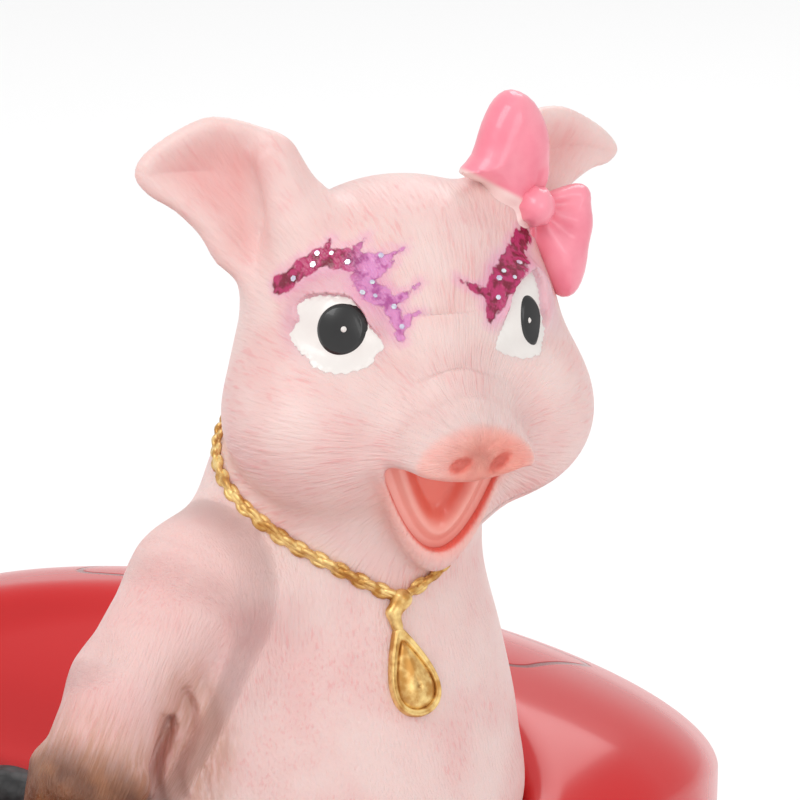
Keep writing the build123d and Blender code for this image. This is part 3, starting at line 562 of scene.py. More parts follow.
def ear_field(q):
    out, up = np.abs(q[..., 0]), q[..., 2]
    (inner, outer), (low, high) = EAR_NEAR
    near = (out > inner) & (out < outer) & (up > low) & (up < high)
    d = np.full(q.shape[:-1], 6.0)
    if not near.any():
        return d
    front, leaf = ear_sheet(q[near])
    d_ear = smooth_overlap(leaf, np.abs(front) - EAR_HALF_THICKNESS, 1.3)
    spot = folded(q[near])
    for i in (0, 1):
        roll = bar(spot, EAR_ROLL[i], EAR_ROLL[i + 1], EAR_ROLL_RADII[i], EAR_ROLL_RADII[i + 1])
        d_ear = smooth_union(d_ear, roll, 1.4)
    d[near] = d_ear
    return d


def add_eyes(q, d):
    """The eyeballs, with a lid that runs above the white."""
    outward, up, facing = to_eye(folded(q))
    shell = np.sqrt(outward ** 2 + up ** 2 + facing ** 2) - EYE_RADIUS
    near = (np.abs(shell) < 4) & (facing > -1) & (np.abs(q[..., 0]) < 20)
    if not near.any():
        return d
    outward, up, shell = outward[near], up[near], shell[near]
    edge = side_distance(q[near], outward, up, EYE_WHITE_EDGES)
    lid = shell - LID_THICKNESS * ramp(up - 0.25 * outward, -2.6, 0.4)
    lid = smooth_overlap(lid, LID_GAP - edge, 0.35)
    lid = smooth_overlap(lid, edge - LID_WIDTH, 1.2)
    seen = smooth_union(d[near], shell, 0.8)
    d[near] = smooth_union(seen, lid, 0.5)
    return d


def head_field(q):
    d = ball(q, *SKULL)
    d = smooth_union(d, ball(q + np.array(CHEEK_SHIFT), *CHEEKS), 4.0)
    d = smooth_union(d, ball(folded(q + np.array(CHEEK_SHIFT)), *CHEEK_PUFF), 2.5)
    d = smooth_union(d, ball(q, *JAW), 2.2)
    d = smooth_union(d, lower_lip_field(q), 0.9)
    d = smooth_union(d, snout_field(q), 2.4) - wrinkle_rise(q)
    return add_eyes(q, d)


def torso_field(p):
    rows = curve(p[..., 2], TORSO_LEVELS, TORSO_ROWS)
    x, y = p[..., 0] - rows[..., 0], p[..., 1] - rows[..., 1]
    across = x * cos(TORSO_TURN) + y * sin(TORSO_TURN)
    along = -x * sin(TORSO_TURN) + y * cos(TORSO_TURN)
    section = oval(across, along, rows[..., 2], rows[..., 3])
    section = smooth_overlap(section, p[..., 2] - TORSO_TOP, 4.0)
    return smooth_overlap(section, TORSO_LEVELS[0] - p[..., 2], 3.0)


def limb_end(joints):
    """The end of a limb, the direction to it and its radius."""
    (before, _), (end, radius) = joints[-2:]
    axis = np.array(end) - np.array(before)
    return np.array(end), axis / np.linalg.norm(axis), radius


def limb_field(p, joints):
    d = None
    for (start, start_radius), (end, end_radius) in zip(joints, joints[1:]):
        piece = bar(p, start, end, start_radius, end_radius)
        d = piece if d is None else smooth_union(d, piece, JOINT_BLEND)
    return smooth_union(d, hoof_field(p, joints), 0.6)


def hoof_field(p, joints):
    """Two tapered toes side by side at the end of a limb."""
    end, axis, radius = limb_end(joints)
    across = np.array(HOOF_SPREAD) - axis * (axis @ np.array(HOOF_SPREAD))
    across *= TOE_GAP * radius / np.linalg.norm(across)
    heel, tip = end - axis * HOOF_HEEL, end + axis * HOOF_LENGTH
    heel_radius, tip_radius = radius * np.array(TOE_SHARES)
    toes = []
    for side in (across, -across):
        start, stop = heel + side * TOE_SPREAD[0], tip + side * TOE_SPREAD[1]
        toes.append(bar(p, start, stop, heel_radius, tip_radius))
    return np.minimum(*toes)


def add_head(p, d):
    q = to_head(p)
    d = smooth_union(d, head_field(q), 1.6)
    d = smooth_union(d, ear_field(q), 3.0)
    d = smooth_cut(d, mouth_field(q), 1.0)
    return smooth_cut(d, nostril_field(q), 0.35)


def arm_pit(p):
    """Distance from the middle of the web under the right arm, as a share of its reach."""
    return np.linalg.norm((p - np.array(ARMPIT)) / np.array(ARMPIT_REACH), axis=-1)


def arm_folds(p):
    """Creases of the skin that run down the web."""
    wave = np.sin(2.6 * (p[..., 0] + 0.5 * p[..., 1]) + 1.4 * np.sin(0.8 * p[..., 2]))
    return ARM_FOLD * wave * ramp(arm_pit(p), 1.0, 0.5)


def add_limbs(p, d):
    for ((start, start_radius), (end, end_radius)), width in ((SHOULDER_SLOPE, 2.5), (ARM_WEB, 3.0)):
        d = smooth_union(d, bar(p, start, end, start_radius, end_radius), width)
    for joints in LIMBS:
        d = smooth_union(d, limb_field(p, joints), 2.0)
    return d + arm_folds(p)


def pig_field(p):
    d = torso_field(p)
    low, high = p[..., 2] < LIMBS_BELOW, p[..., 2] > HEAD_ABOVE
    if low.any():
        d[low] = add_limbs(p[low], d[low])
    if high.any():
        d[high] = add_head(p[high], d[high])
    return d


def tongue_field(q):
    """A plate that fills the mouth, with a groove along the lip and a dished middle."""
    inward = -below_valley(q, MOUTH_FLOOR)
    groove = TONGUE_GROOVE * ramp(inward, 1.5, 0.6)
    top = before_lip(q) + TONGUE_SINK + groove + TONGUE_DISH * ramp(inward, 1.6, 4.4)
    return smooth_overlap(mouth_field(q) - 0.2, top * 0.7, 0.2)


def pillow(q, outline, middle, half_depth):
    """A padded flat form over an outline, thick in the middle and round at its edge."""
    edge = outline_distance(q[..., 0], q[..., 2], outline) + BOW_ROUND
    depth = (q[..., 1] - middle) * BOW_ROUND / half_depth
    near = np.sqrt(np.maximum(edge, 0) ** 2 + depth ** 2) - BOW_ROUND
    return near * np.minimum(half_depth / BOW_ROUND, 1)


def from_knot(q):
    """Distance and turn round the bow's knot, seen from the front."""
    x, z = q[..., 0] - BOW_KNOT[0][0], q[..., 2] - BOW_KNOT[0][2]
    return np.sqrt(x * x + z * z), np.arctan2(z, x)


def bow_creases(q):
    """Folds that run out from the knot and fade."""
    away, turn = from_knot(q)
    return 0.28 * np.cos(9 * turn + 0.6) * ramp(away, 1.2, 2.5) * ramp(away, 8.0, 3.0)


def loop_field(q, outline, half_depth, creased):
    gathered = 0.45 + 0.55 * ramp(from_knot(q)[0], 0.5, 6.0)
    return pillow(q, outline, BOW_FORWARD, half_depth * gathered) + creased * bow_creases(q)


def upper_loop_field(q):
    d = loop_field(q, BOW_UPPER_EDGE, BOW_HALF_DEPTH[0], 0.4)
    d = smooth_union(d, bar(q, *BOW_STUB), 1.2)
    return smooth_cut(d, bar(q, *BOW_MOUTH), 0.6)


def lower_loop_field(q):
    return loop_field(q, BOW_LOWER_EDGE, BOW_HALF_DEPTH[1], 1.0)


def bow_pale(q):
    """The bare underside of the upper loop, towards its open end."""
    (x0, z0), (x1, z1) = BOW_UPPER[0], BOW_UPPER[-3]
    across = (q[..., 0] - x0) * (z1 - z0) - (q[..., 2] - z0) * (x1 - x0)
    return ramp(across / np.hypot(x1 - x0, z1 - z0), -0.7, -0.2)


def knot_field(q):
    return ball(q, *BOW_KNOT) + 0.6 * bow_creases(q)


def chain_level(p):
    """Level of the necklace round the neck, higher on the left where the jaw hides it."""
    turn = np.degrees(np.arctan2(p[..., 1] - NECK[1], p[..., 0] - NECK[0]) - CHAIN_TURN)
    turn = (turn + 180) % 360 - 180
    hidden = CHAIN_RISE * ramp(turn, 14, 45) * ramp(turn, 175, 110)
    return curve(np.abs(turn), CHAIN_ANGLES, CHAIN_LEVELS)[..., 0] + hidden


# Meshes from fields

def cube_at(spot):
    """Slices of the grid that a block takes up."""
    return tuple(slice(first, first + BLOCK) for first in spot * BLOCK)


def sample(field, low, counts, step):
    """Field values on a grid, worked out in full only near the surface."""
    blocks = -(-counts // BLOCK)
    values = np.empty(blocks * BLOCK, np.float32)
    index = np.indices(blocks).reshape(3, -1).T
    offsets = np.moveaxis(np.indices((BLOCK, BLOCK, BLOCK)), 0, -1)
    centres = field(low + (index + 0.5) * BLOCK * step)
    close = np.abs(centres) < BLOCK * step * 1.5
    for spot, distance in zip(index[~close], centres[~close]):
        values[cube_at(spot)] = distance
    spots, share = index[close], 400
    for first in range(0, len(spots), share):
        group = spots[first:first + share]
        places = low + (group[:, None, None, None] * BLOCK + offsets) * step
        for spot, cube in zip(group, field(places)):
            values[cube_at(spot)] = cube
    return values


def gradient(field, p, reach=0.05):
    parts = []
    for axis in np.eye(3) * reach:
        parts.append(field(p + axis) - field(p - axis))
    return np.stack(parts, -1) / (2 * reach)


def mesh_field(name, field, box, step):
    """A closed mesh on a field's zero surface inside a box, and its points."""
    low, high = np.asarray(box, float)
    counts = np.ceil((high - low) / step).astype(int) + 1
    values = sample(field, low, counts, step)
    grid = openvdb.FloatGrid(FAR)
    grid.copyFromArray(values)
    points, quads = grid.convertToQuads(0.0)
    points = low + points.astype(float) * step
    for _ in range(2):
        g = gradient(field, points)
        size = np.sum(g * g, -1) + 1e-4
        shift = np.clip(field(points) / size, -step, step)
        points = points - g * shift[:, None]
    normals = gradient(field, points)
    normals /= np.linalg.norm(normals, axis=-1, keepdims=True) + 1e-9
    return plain_mesh(name, points, quads, normals), points


def plain_mesh(name, points, faces, normals=None):
    """A mesh in metres from points in millimetres and four-cornered faces."""
    mesh = bpy.data.meshes.new(name)
    faces = np.asarray(faces, np.int32)
    mesh.vertices.add(len(points))
    mesh.vertices.foreach_set("co", (np.asarray(points) * MM).astype(np.float32).ravel())
    mesh.loops.add(faces.size)
    mesh.loops.foreach_set("vertex_index", faces.ravel())
    mesh.polygons.add(len(faces))
    mesh.polygons.foreach_set("loop_start", np.arange(0, faces.size, faces.shape[1], dtype=np.int32))
    mesh.update(calc_edges=True)
    mesh.polygons.foreach_set("use_smooth", np.ones(len(faces), bool))
    if normals is not None:
        mesh.normals_split_custom_set_from_vertices(normals.astype(np.float32))
    return mesh


def ring_mesh(name, rings):
    """A closed mesh over rings of points, the last joined to the first, with faces outward."""
    rings = np.asarray(rings, float)
    count, size = rings.shape[:2]
    first = np.arange(count)[:, None] * size + np.arange(size)
    beside = np.roll(first, -1, 1)
    faces = np.stack((first, np.roll(first, -1, 0), np.roll(beside, -1, 0), beside), -1).reshape(-1, 4)
    points = rings.reshape(-1, 3)
    a, b, c, d = (points[faces[:, i]] for i in range(4))
    volume = np.sum(np.cross(a, b) * c) + np.sum(np.cross(a, c) * d)
    return plain_mesh(name, points, faces if volume > 0 else faces[:, ::-1])


def store(mesh, name, values):
    """Keeps one value, or one place, for each vertex of a mesh."""
    values = np.asarray(values, np.float32)
    if values.ndim == 2:
        mesh.attributes.new(name, "FLOAT_VECTOR", "POINT").data.foreach_set("vector", values.ravel())
    else:
        mesh.attributes.new(name, "FLOAT", "POINT").data.foreach_set("value", values)


def add_object(name, data):
    item = bpy.data.objects.new(name, data)
    bpy.context.scene.collection.objects.link(item)
    return item


def dress(mesh, look):
    mesh.materials.clear()
    mesh.materials.append(look)


def add_piece(name, mesh, look, slot, *nodes):
    """A visible piece and the CAD nodes that it stands for; its slot is not used."""
    piece = add_object("visual_" + name, mesh)
    dress(mesh, look)
    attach(piece, "root")
    if nodes:
        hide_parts(*nodes)
    return piece


def field_piece(name, field, box, step, look, slot, *nodes):
    """A piece on a field's zero surface, with no paint of its own."""
    mesh, _ = mesh_field(name, field, box, step)
    return add_piece(name, mesh, look, slot, *nodes)


# Materials

def tint(red, green, blue):
    """A colour given as screen values from 0 to 255."""
    parts = []
    for value in (red, green, blue):
        value /= 255
        parts.append(value / 12.92 if value <= 0.04045 else ((value + 0.055) / 1.055) ** 2.4)
    return (*parts, 1)


class Look:
    """A procedural material while it is put together."""

    def __init__(self, name, rough=0.5, metal=0.0, coat=0.0):
        self.material = bpy.data.materials.new(name)
        self.material.use_nodes = True
        self.tree = self.material.node_tree
        self.shader = self.tree.nodes["Principled BSDF"]
        self.set("Roughness", rough)
        self.set("Metallic", metal)
        self.set("Coat Weight", coat)

    def set(self, name, value):
        self.join(value, self.shader.inputs[name])

    def join(self, value, socket):
        if isinstance(value, bpy.types.NodeSocket):
            self.tree.links.new(value, socket)
        else:
            socket.default_value = value

    def place(self):
        return self.tree.nodes.new("ShaderNodeTexCoord").outputs["Object"]

    def stored(self, name, output="Fac"):
        node = self.tree.nodes.new("ShaderNodeAttribute")
        node.attribute_name = name
        return node.outputs[output]

    def noise(self, scale, detail=3.0, where=None):
        node = self.tree.nodes.new("ShaderNodeTexNoise")
        self.join(where or self.place(), node.inputs["Vector"])
        self.join(scale, node.inputs["Scale"])
        self.join(detail, node.inputs["Detail"])
        return node.outputs["Fac"]

    def cells(self, scale):
        node = self.tree.nodes.new("ShaderNodeTexVoronoi")
        self.join(self.place(), node.inputs["Vector"])
        self.join(scale, node.inputs["Scale"])
        return node.outputs["Distance"]

    def span(self, value, low, high, start=0.0, end=1.0):
        node = self.tree.nodes.new("ShaderNodeMapRange")
        node.interpolation_type = "SMOOTHSTEP"
        for socket, item in zip(node.inputs, (value, low, high, start, end)):
            self.join(item, socket)
        return node.outputs["Result"]

    def maths(self, a, b, action="ADD"):
        node = self.tree.nodes.new("ShaderNodeMath")
        node.operation = action
        self.join(a, node.inputs[0])
        self.join(b, node.inputs[1])
        return node.outputs["Value"]

    def times(self, a, b):
        return self.maths(a, b, "MULTIPLY")

    def mix(self, share, a, b):
        node = self.tree.nodes.new("ShaderNodeMix")
        node.data_type = "RGBA"
        self.join(share, node.inputs["Factor"])
        self.join(a, node.inputs[6])
        self.join(b, node.inputs[7])
        return node.outputs[2]

    def blend(self, value, low, high, first, second):
        """A colour that runs from one tint to another as a value does."""
        return self.mix(self.span(value, low, high), tint(*first), tint(*second))

    def bump(self, height, depth, strength=1.0, under=None):
        """Relief of a depth in millimetres."""
        node = self.tree.nodes.new("ShaderNodeBump")
        self.join(height, node.inputs["Height"])
        self.join(depth * MM, node.inputs["Distance"])
        self.join(strength, node.inputs["Strength"])
        if under is not None:
            self.join(under, node.inputs["Normal"])
        return node.outputs["Normal"]


def skin_look():
    look = Look("pig_skin", rough=0.42)
    hair = look.stored("hair", "Vector")
    strokes = look.noise(3.8, 3.0, hair)
    patches = look.noise(150.0, 2.0)
    fine = look.noise(900.0, 3.0)
    stroke = look.times(look.span(strokes, 0.52, 0.7), look.span(patches, 0.4, 0.62))
    colour = look.blend(patches, 0.3, 0.75, (233, 205, 200), (229, 189, 185))
    colour = look.mix(look.times(stroke, 0.5), colour, tint(226, 156, 156))
    colour = look.mix(look.times(look.stored("blush"), 0.6), colour, tint(228, 160, 156))
    coral = look.blend(fine, 0.3, 0.7, (246, 166, 150), (240, 152, 138))
    colour = look.mix(look.stored("coral"), colour, coral)
    colour = look.mix(look.stored("mouth"), colour, tint(232, 108, 94))
    colour = brown_wash_and_shade(look, colour, hair)
    colour, on_brow, blots = brow_paint(look, colour)
    look.set("Base Color", colour)
    look.set("Subsurface Weight", 0.25)
    look.set("Subsurface Radius", (1.0, 0.45, 0.35))
    look.set("Subsurface Scale", 1.2 * MM)
    relief = look.bump(strokes, 0.2, 0.8)
    relief = look.bump(fine, 0.03, 0.5, relief)
    look.set("Normal", look.bump(look.times(on_brow, blots), 0.25, 0.8, relief))
    look.set("Roughness", look.span(on_brow, 0.0, 1.0, 0.42, 0.25))
    return look.material


def brown_wash_and_shade(look, colour, hair):
    """Thin brown paint in the lower limbs' strokes, thick on the hooves, and brown painted shade under the
    arm.
    """
    streaks = look.span(look.noise(2.2, 3.0, hair), 0.3, 0.65, 0.35, 1.0)
    wash_and_shade = look.times(look.stored("wash_and_shade"), streaks)
    # The brown is paint on the limbs and painted shade in the web under the arm
    colour = look.mix(look.times(wash_and_shade, 0.8), colour, tint(190, 134, 102))
    hoof = look.blend(look.noise(260.0, 3.0), 0.35, 0.7, (110, 64, 40), (156, 102, 68))
    return look.mix(look.stored("hoof"), colour, hoof)


def brow_paint(look, colour):
    """Crimson and lilac brows with a thin pink veil round them."""
    blots = look.noise(1100.0, 2.0)
    colour = look.mix(look.times(look.stored("lid"), 0.5), colour, tint(214, 152, 176))
    edge = look.maths(look.stored("brow"), look.span(blots, 0.2, 0.8, -0.26, 0.26))
    crimson = look.blend(blots, 0.4, 0.58, (180, 44, 100), (122, 16, 50))
    lilac = look.blend(blots, 0.42, 0.6, (214, 138, 188), (178, 84, 150))
    paint = look.mix(look.stored("lilac"), crimson, lilac)
    colour = look.mix(look.span(edge, 1.0, 0.0, 0.0, 0.35), colour, tint(226, 136, 186))
    on_brow = look.span(edge, 0.14, -0.1)
    return look.mix(on_brow, colour, paint), on_brow, blots


def red_look():
    look = Look("car_red", rough=0.22, coat=0.15)
    look.set("Specular IOR Level", 0.4)
    broad = look.noise(14.0, 2.0)
    colour = look.blend(broad, 0.35, 0.7, (196, 10, 16), (206, 18, 22))
    lines = 0.0
    for name in ("boot", "bonnet", "door"):
        gap = look.maths(look.stored(name), 0.0, "ABSOLUTE")
        lines = look.maths(look.span(gap, 0.5, 0.15), lines, "MAXIMUM")
    look.set("Base Color", look.mix(look.times(lines, 0.75), colour, tint(92, 6, 10)))
    look.set("Coat Roughness", 0.08)
    relief = look.bump(look.noise(110.0, 2.0), 0.05, 0.4)
    look.set("Normal", look.bump(look.maths(1.0, lines, "SUBTRACT"), 0.25, 0.8, relief))
    return look.material


def black_look(name, rough, grain, scale):
    look = Look(name, rough=rough)
    cells = look.cells(scale)
    look.set("Base Color", look.blend(cells, 0.1, 0.7, (52, 52, 53), (26, 26, 27)))
    look.set("Normal", look.bump(cells, grain, 0.8))
    return look.material


def silver_look():
    look = Look("trim_silver", rough=0.24, metal=1.0)
    worn = look.noise(220.0, 4.0)
    look.set("Base Color", look.blend(worn, 0.3, 0.7, (206, 206, 208), (190, 190, 194)))
    look.set("Roughness", look.span(worn, 0.3, 0.8, 0.16, 0.26))
    look.set("Normal", look.bump(worn, 0.02, 0.4))
    return look.material


def steel_look():
    look = Look("axle_steel", rough=0.4, metal=1.0)
    worn = look.noise(400.0, 3.0)
    look.set("Base Color", look.mix(worn, tint(150, 150, 152), tint(110, 110, 114)))
    return look.material


def glass_look(name, first, second, rough, through):
    look = Look(name, rough=rough)
    cloud = look.noise(120.0, 2.0)
    look.set("Base Color", look.mix(cloud, first, second))
    look.set("Transmission Weight", through)
    look.set("IOR", 1.45)
    return look.material


def gold_look():
    look = Look("gold_paint", rough=0.38, metal=0.6)
    spots = look.noise(700.0, 4.0)
    colour = look.blend(spots, 0.35, 0.65, (194, 140, 68), (246, 214, 142))
    look.set("Base Color", colour)
    look.set("Normal", look.bump(spots, 0.05, 0.5))
    return look.material


def bow_look():
    look = Look("bow_pink", rough=0.3, coat=0.3)
    folds = look.noise(240.0, 3.0)
    colour = look.blend(folds, 0.3, 0.7, (246, 150, 166), (238, 128, 148))
    look.set("Base Color", look.mix(look.stored("pale"), colour, tint(240, 208, 204)))
    look.set("Normal", look.bump(folds, 0.05, 0.4))
    return look.material


def glitter_look():
    look = Look("glitter_silver", rough=0.25, metal=0.6)
    shimmer = look.noise(1500.0, 2.0)
    look.set("Base Color", look.blend(shimmer, 0.35, 0.65, (232, 240, 242), (206, 196, 222)))
    return look.material


def white_look():
    look = Look("eye_white", rough=0.3, coat=0.2)
    brush = look.noise(420.0, 3.0)
    look.set("Base Color", look.mix(brush, tint(240, 236, 231), tint(222, 214, 210)))
    return look.material


def iris_look():
    look = Look("eye_black", rough=0.3, coat=0.25)
    brush = look.noise(500.0, 3.0)
    look.set("Base Color", look.mix(brush, tint(16, 16, 17), tint(34, 33, 33)))
    return look.material


def mouth_look():
    look = Look("mouth_coral", rough=0.3, coat=0.2)
    brush = look.noise(420.0, 3.0)
    rim = look.mix(brush, tint(246, 178, 166), tint(240, 160, 146))
    # Darker coral towards the top under the upper lip: partly the tongue's own colour, partly painted
    # shade
    middle = look.mix(brush, tint(240, 124, 106), tint(228, 104, 88))
    look.set("Base Color", look.mix(look.stored("deep_and_shaded"), rim, middle))
    look.set("Normal", look.bump(brush, 0.04, 0.5))
    return look.material


# Pig pieces

def path_distance(x, y, path, start_half, end_half):
    """Distance to a brush stroke whose half width runs from one value to another."""
    best = np.full(x.shape, 1e3)
    steps = len(path) - 1
    for i in range(steps):
        (x0, y0), (x1, y1) = path[i], path[i + 1]
        dx, dy = x1 - x0, y1 - y0
        share = np.clip(((x - x0) * dx + (y - y0) * dy) / (dx * dx + dy * dy), 0, 1)
        half = start_half + (end_half - start_half) * (i + share) / steps
        best = np.minimum(best, np.hypot(x - x0 - share * dx, y - y0 - share * dy) - half)
    return best


def brow_distance(q):
    """Distance to the brow paint on a place's own side, below zero inside it."""
    outward, up, facing = to_eye(folded(q))
    sides = []
    for strokes, spikes in ((BROW_RIGHT, BROW_SPIKES), (BROW_LEFT, BROW_SPIKES[-1:])):
        d = path_distance(outward, up, strokes[0], BROW_HALF[0], BROW_HALF[0])
        d = np.minimum(d, path_distance(outward, up, strokes[1], BROW_HALF[0], BROW_HALF[1] * 0.5))
        for spike in spikes:
            d = np.minimum(d, path_distance(outward, up, spike, BROW_HALF[1] * 0.7, 0.08))
        sides.append(np.where(facing > -2.5, d, 5.0))
    return np.where(q[..., 0] < 0, sides[0], sides[1])


def hair_places(points, q):
    """Places stretched along the hair, so that noise on them makes strokes."""
    fan, stretch = FACE_STROKES
    gap = q - np.array((0, SNOUT_END, -5.0))
    turn = np.arctan2(gap[:, 0], gap[:, 2])
    away = np.linalg.norm(gap, axis=1)
    face = np.stack((fan * np.cos(turn), fan * np.sin(turn), away * stretch), -1)
    trunk = points * np.array((1, 1, TRUNK_STROKES))
    end, axis, radius = limb_end(ARM_RIGHT)
    arm = points - np.outer(points @ axis, axis) * (1 - ARM_STROKES)
    on_arm = ramp(bar(points, ARM_RIGHT[1][0], end, radius, radius), 3.5, 1.0)[:, None]
    on_head = (points[:, 2] > chain_level(points) - 0.1)[:, None]
    return np.where(on_head, face, trunk * (1 - on_arm) + arm * on_arm)


def coral_share(q):
    """Coral on the snout's pad, and thinner along the lower lip."""
    middle = 0.55 + 0.45 * ramp(np.hypot(q[:, 0] - 1.0, (q[:, 2] + 6.2) * 1.2), 5.2, 2.2)
    pad = ramp(before_pad(q), -1.6, -0.2) * middle * ramp(q[:, 2], -9.0, -7.8)
    lip = ramp(mouth_field(q), 2.0, 0.2) * ramp(q[:, 1], 5.0, 8.0) * ramp(q[:, 2], -7.0, -9.0)
    return np.maximum(pad, 0.55 * lip)


def mouth_share(q):
    """Red inside the mouth, and thinner in the nostrils."""
    nostril = ramp(nostril_field(q), 0.35, -0.1)
    inside = ramp(mouth_field(q), 0.4, 0.1) * ramp(q[:, 1], 1.5, 3.0) * ramp(above_roof(q), 0.5, 0.0)
    return np.maximum(inside, 0.8 * nostril)


def blush_share(points, q):
    """Blush in the bowls of the ears, and thinner on the right arm."""
    front, leaf = ear_sheet(q)
    ear = ramp(-leaf, 0.2, 4.0) * ramp(front, 0.4, 0.9) * ramp(np.abs(q[:, 0]), 11.8, 14.5)
    end, _, radius = limb_end(ARM_RIGHT)
    arm = ramp(bar(points, ARM_RIGHT[1][0], end, 6.5, radius), 3.0, 0.0)
    return np.maximum(ear, ARM_BLUSH * arm)


def eye_paint(mesh, q):
    """Stores the shade round the eyes, and the brows with their lilac part."""
    outward, up, facing = to_eye(folded(q))
    shade = ramp(np.hypot(outward + 0.5, up * 1.1 - 1.2), 6.6, 4.6)
    store(mesh, "lid", shade * ramp(facing, -1.0, 1.5) * ramp(up, -3.4, 1.0))
    store(mesh, "brow", brow_distance(q))
    store(mesh, "lilac", ramp(outward, 0.2, -3.0) * (q[:, 0] < 0))


def limb_paint(mesh, points):
    """Stores the brown wash on the limbs, brown painted shade in the web under the arm, and the hooves."""
    wash_and_shade, hoof = np.zeros(len(points)), np.zeros(len(points))
    for joints in LIMBS:
        end, axis, radius = limb_end(joints)
        along = (points - end) @ axis
        near = ramp(bar(points, end - axis * 8, end + axis * HOOF_LENGTH, radius, radius), 2.5, 0.8)
        wash_and_shade = np.maximum(wash_and_shade, near * ramp(along, -9.5, -1.0))
        hoof = np.maximum(hoof, near * ramp(along, -4.6, 0.2))
    # The web under the arm gets brown painted shade, stored with the limbs' wash
    store(mesh, "wash_and_shade", np.maximum(wash_and_shade, 0.75 * ramp(arm_pit(points), 1.15, 0.5)))
    store(mesh, "hoof", hoof)


def skin_piece(name, field, box, step, look, *nodes):
    """A piece of skin that stores where the paint goes and which way the hair strokes run."""
    mesh, points = mesh_field(name, field, box, step)
    q = to_head(points)
    store(mesh, "hair", hair_places(points, q))
    store(mesh, "coral", coral_share(q))
    store(mesh, "mouth", mouth_share(q))
    store(mesh, "blush", blush_share(points, q))
    eye_paint(mesh, q)
    limb_paint(mesh, points)
    return add_piece(name, mesh, look, "pig_skin", *nodes)


def head_piece_field(p):
    """The head, down to the necklace."""
    return np.maximum(pig_field(p), (chain_level(p) - p[..., 2]) * 0.8)


def trunk_piece_field(p):
    """The trunk and limbs up to the necklace, with a thin lip that runs up inside the head's edge."""
    above = p[..., 2] - chain_level(p)
    return np.maximum(pig_field(p) + 0.05 * ramp(above, -0.3, 0.1), (above - 0.3) * 0.8)


def eye_field(outline, lift, side):
    """A painted patch on the eye of one side, lifted a little from the skin."""
    def field(p):
        q = to_head(p)
        outward, up, facing = to_eye(folded(q))
        skin = pig_field(p)
        patch = outline(outward, up)
        d = np.maximum(skin - lift * np.clip(-patch * 2.5, 0, 1) - 0.02, -0.5 - skin)
        d = np.maximum(d, patch)
        return np.maximum(np.maximum(d, 1.0 - facing), -side * q[..., 0])
    return field


def white_edge(edge):
    """The edge of the white, uneven as a brush leaves it."""
    def distance(outward, up):
        return outline_distance(outward, up, edge) + 0.09 * np.sin(7 * outward + 3 * up) * np.sin(6 * up)
    return distance


def spot_edge(place, radius, narrow):
    """The edge of a spot, narrowed across."""
    def distance(outward, up):
        return np.hypot((outward - place[0]) / narrow, (up - place[1]) * 0.97) - radius
    return distance


def build_eyes():
    white, black = white_look(), iris_look()
    sides = (("right", -1, EYE_WHITE_EDGES[0], IRIS_PLACE, IRIS_NARROW[0]),
             ("left", 1, EYE_WHITE_EDGES[1], IRIS_PLACE_LEFT, IRIS_NARROW[1]))
    for name, side, edge, iris, narrow in sides:
        centre = from_head((side * EYE_FRONT[0], *EYE_FRONT[1:]))
        glint = (iris[0] + GLINT_SHIFT[0], iris[1] + GLINT_SHIFT[1])
        for kind, outline, lift, look, slot, reach in (
            ("eye_", white_edge(edge), 0.07, white, "eye_white", 7.0),
            ("iris_", spot_edge(iris, IRIS_RADIUS, narrow), 0.22, black, "eye_black", 4.5),
            # A raised white dot on the iris as a painted highlight
            ("glint_", spot_edge(glint, GLINT_RADIUS, narrow), 0.36, white, "eye_white", 4.0),
        ):
            field, box = eye_field(outline, lift, side), (centre - reach, centre + reach)
            nodes = () if kind == "glint_" else (kind + name,)
            field_piece(kind + name, field, box, EYE_STEP, look, slot, *nodes)


def head_piece(name, field, box, step, look, slot):
    """A piece from a field and a box in the head's frame, and its points in that frame."""
    corners = from_head(list(product(*zip(*box))))
    mesh, points = mesh_field(name, lambda p: field(to_head(p)), (corners.min(0), corners.max(0)), step)
    return add_piece(name, mesh, look, slot, name), to_head(points)


def build_tongue():
    tongue, q = head_piece("tongue", tongue_field, TONGUE_BOX, 0.16, mouth_look(), "mouth_coral")
    # How far up towards the upper lip, where the coral is darker: partly its own colour, partly painted
    # shade
    store(tongue.data, "deep_and_shaded", ramp(-below_valley(q, MOUTH_FLOOR), 1.1, 3.2))


def build_bow():
    look = bow_look()
    upper, q = head_piece("bow_loop_upper", upper_loop_field, BOW_UPPER_BOX, 0.2, look, "bow_pink")
    store(upper.data, "pale", bow_pale(q))
    head_piece("bow_loop_lower", lower_loop_field, BOW_LOWER_BOX, 0.2, look, "bow_pink")
    head_piece("bow_knot", knot_field, BOW_KNOT_BOX, 0.16, look, "bow_pink")


# Geometry node trees

def tree_with(name, *sockets):
    tree = bpy.data.node_groups.new(name, "GeometryNodeTree")
    tree.interface.new_socket("Geometry", in_out="INPUT", socket_type="NodeSocketGeometry")
    for label, kind in sockets:
        tree.interface.new_socket(label, in_out="INPUT", socket_type=kind)
    tree.interface.new_socket("Geometry", in_out="OUTPUT", socket_type="NodeSocketGeometry")
    return tree, tree.nodes.new("NodeGroupInput"), tree.nodes.new("NodeGroupOutput")


def grow(name, source, tree, values):
    """The mesh that a geometry node tree makes from a source mesh."""
    holder = add_object(name + "_source", source)
    change = holder.modifiers.new("grow", "NODES")
    change.node_group = tree
    for item in tree.interface.items_tree:
        if item.in_out == "INPUT" and item.name in values:
            change[item.identifier] = values[item.name]
    ready = holder.evaluated_get(bpy.context.evaluated_depsgraph_get())
    mesh = bpy.data.meshes.new_from_object(ready)
    mesh.name = name
    holder.modifiers.remove(change)
    bpy.data.objects.remove(holder)
    return mesh


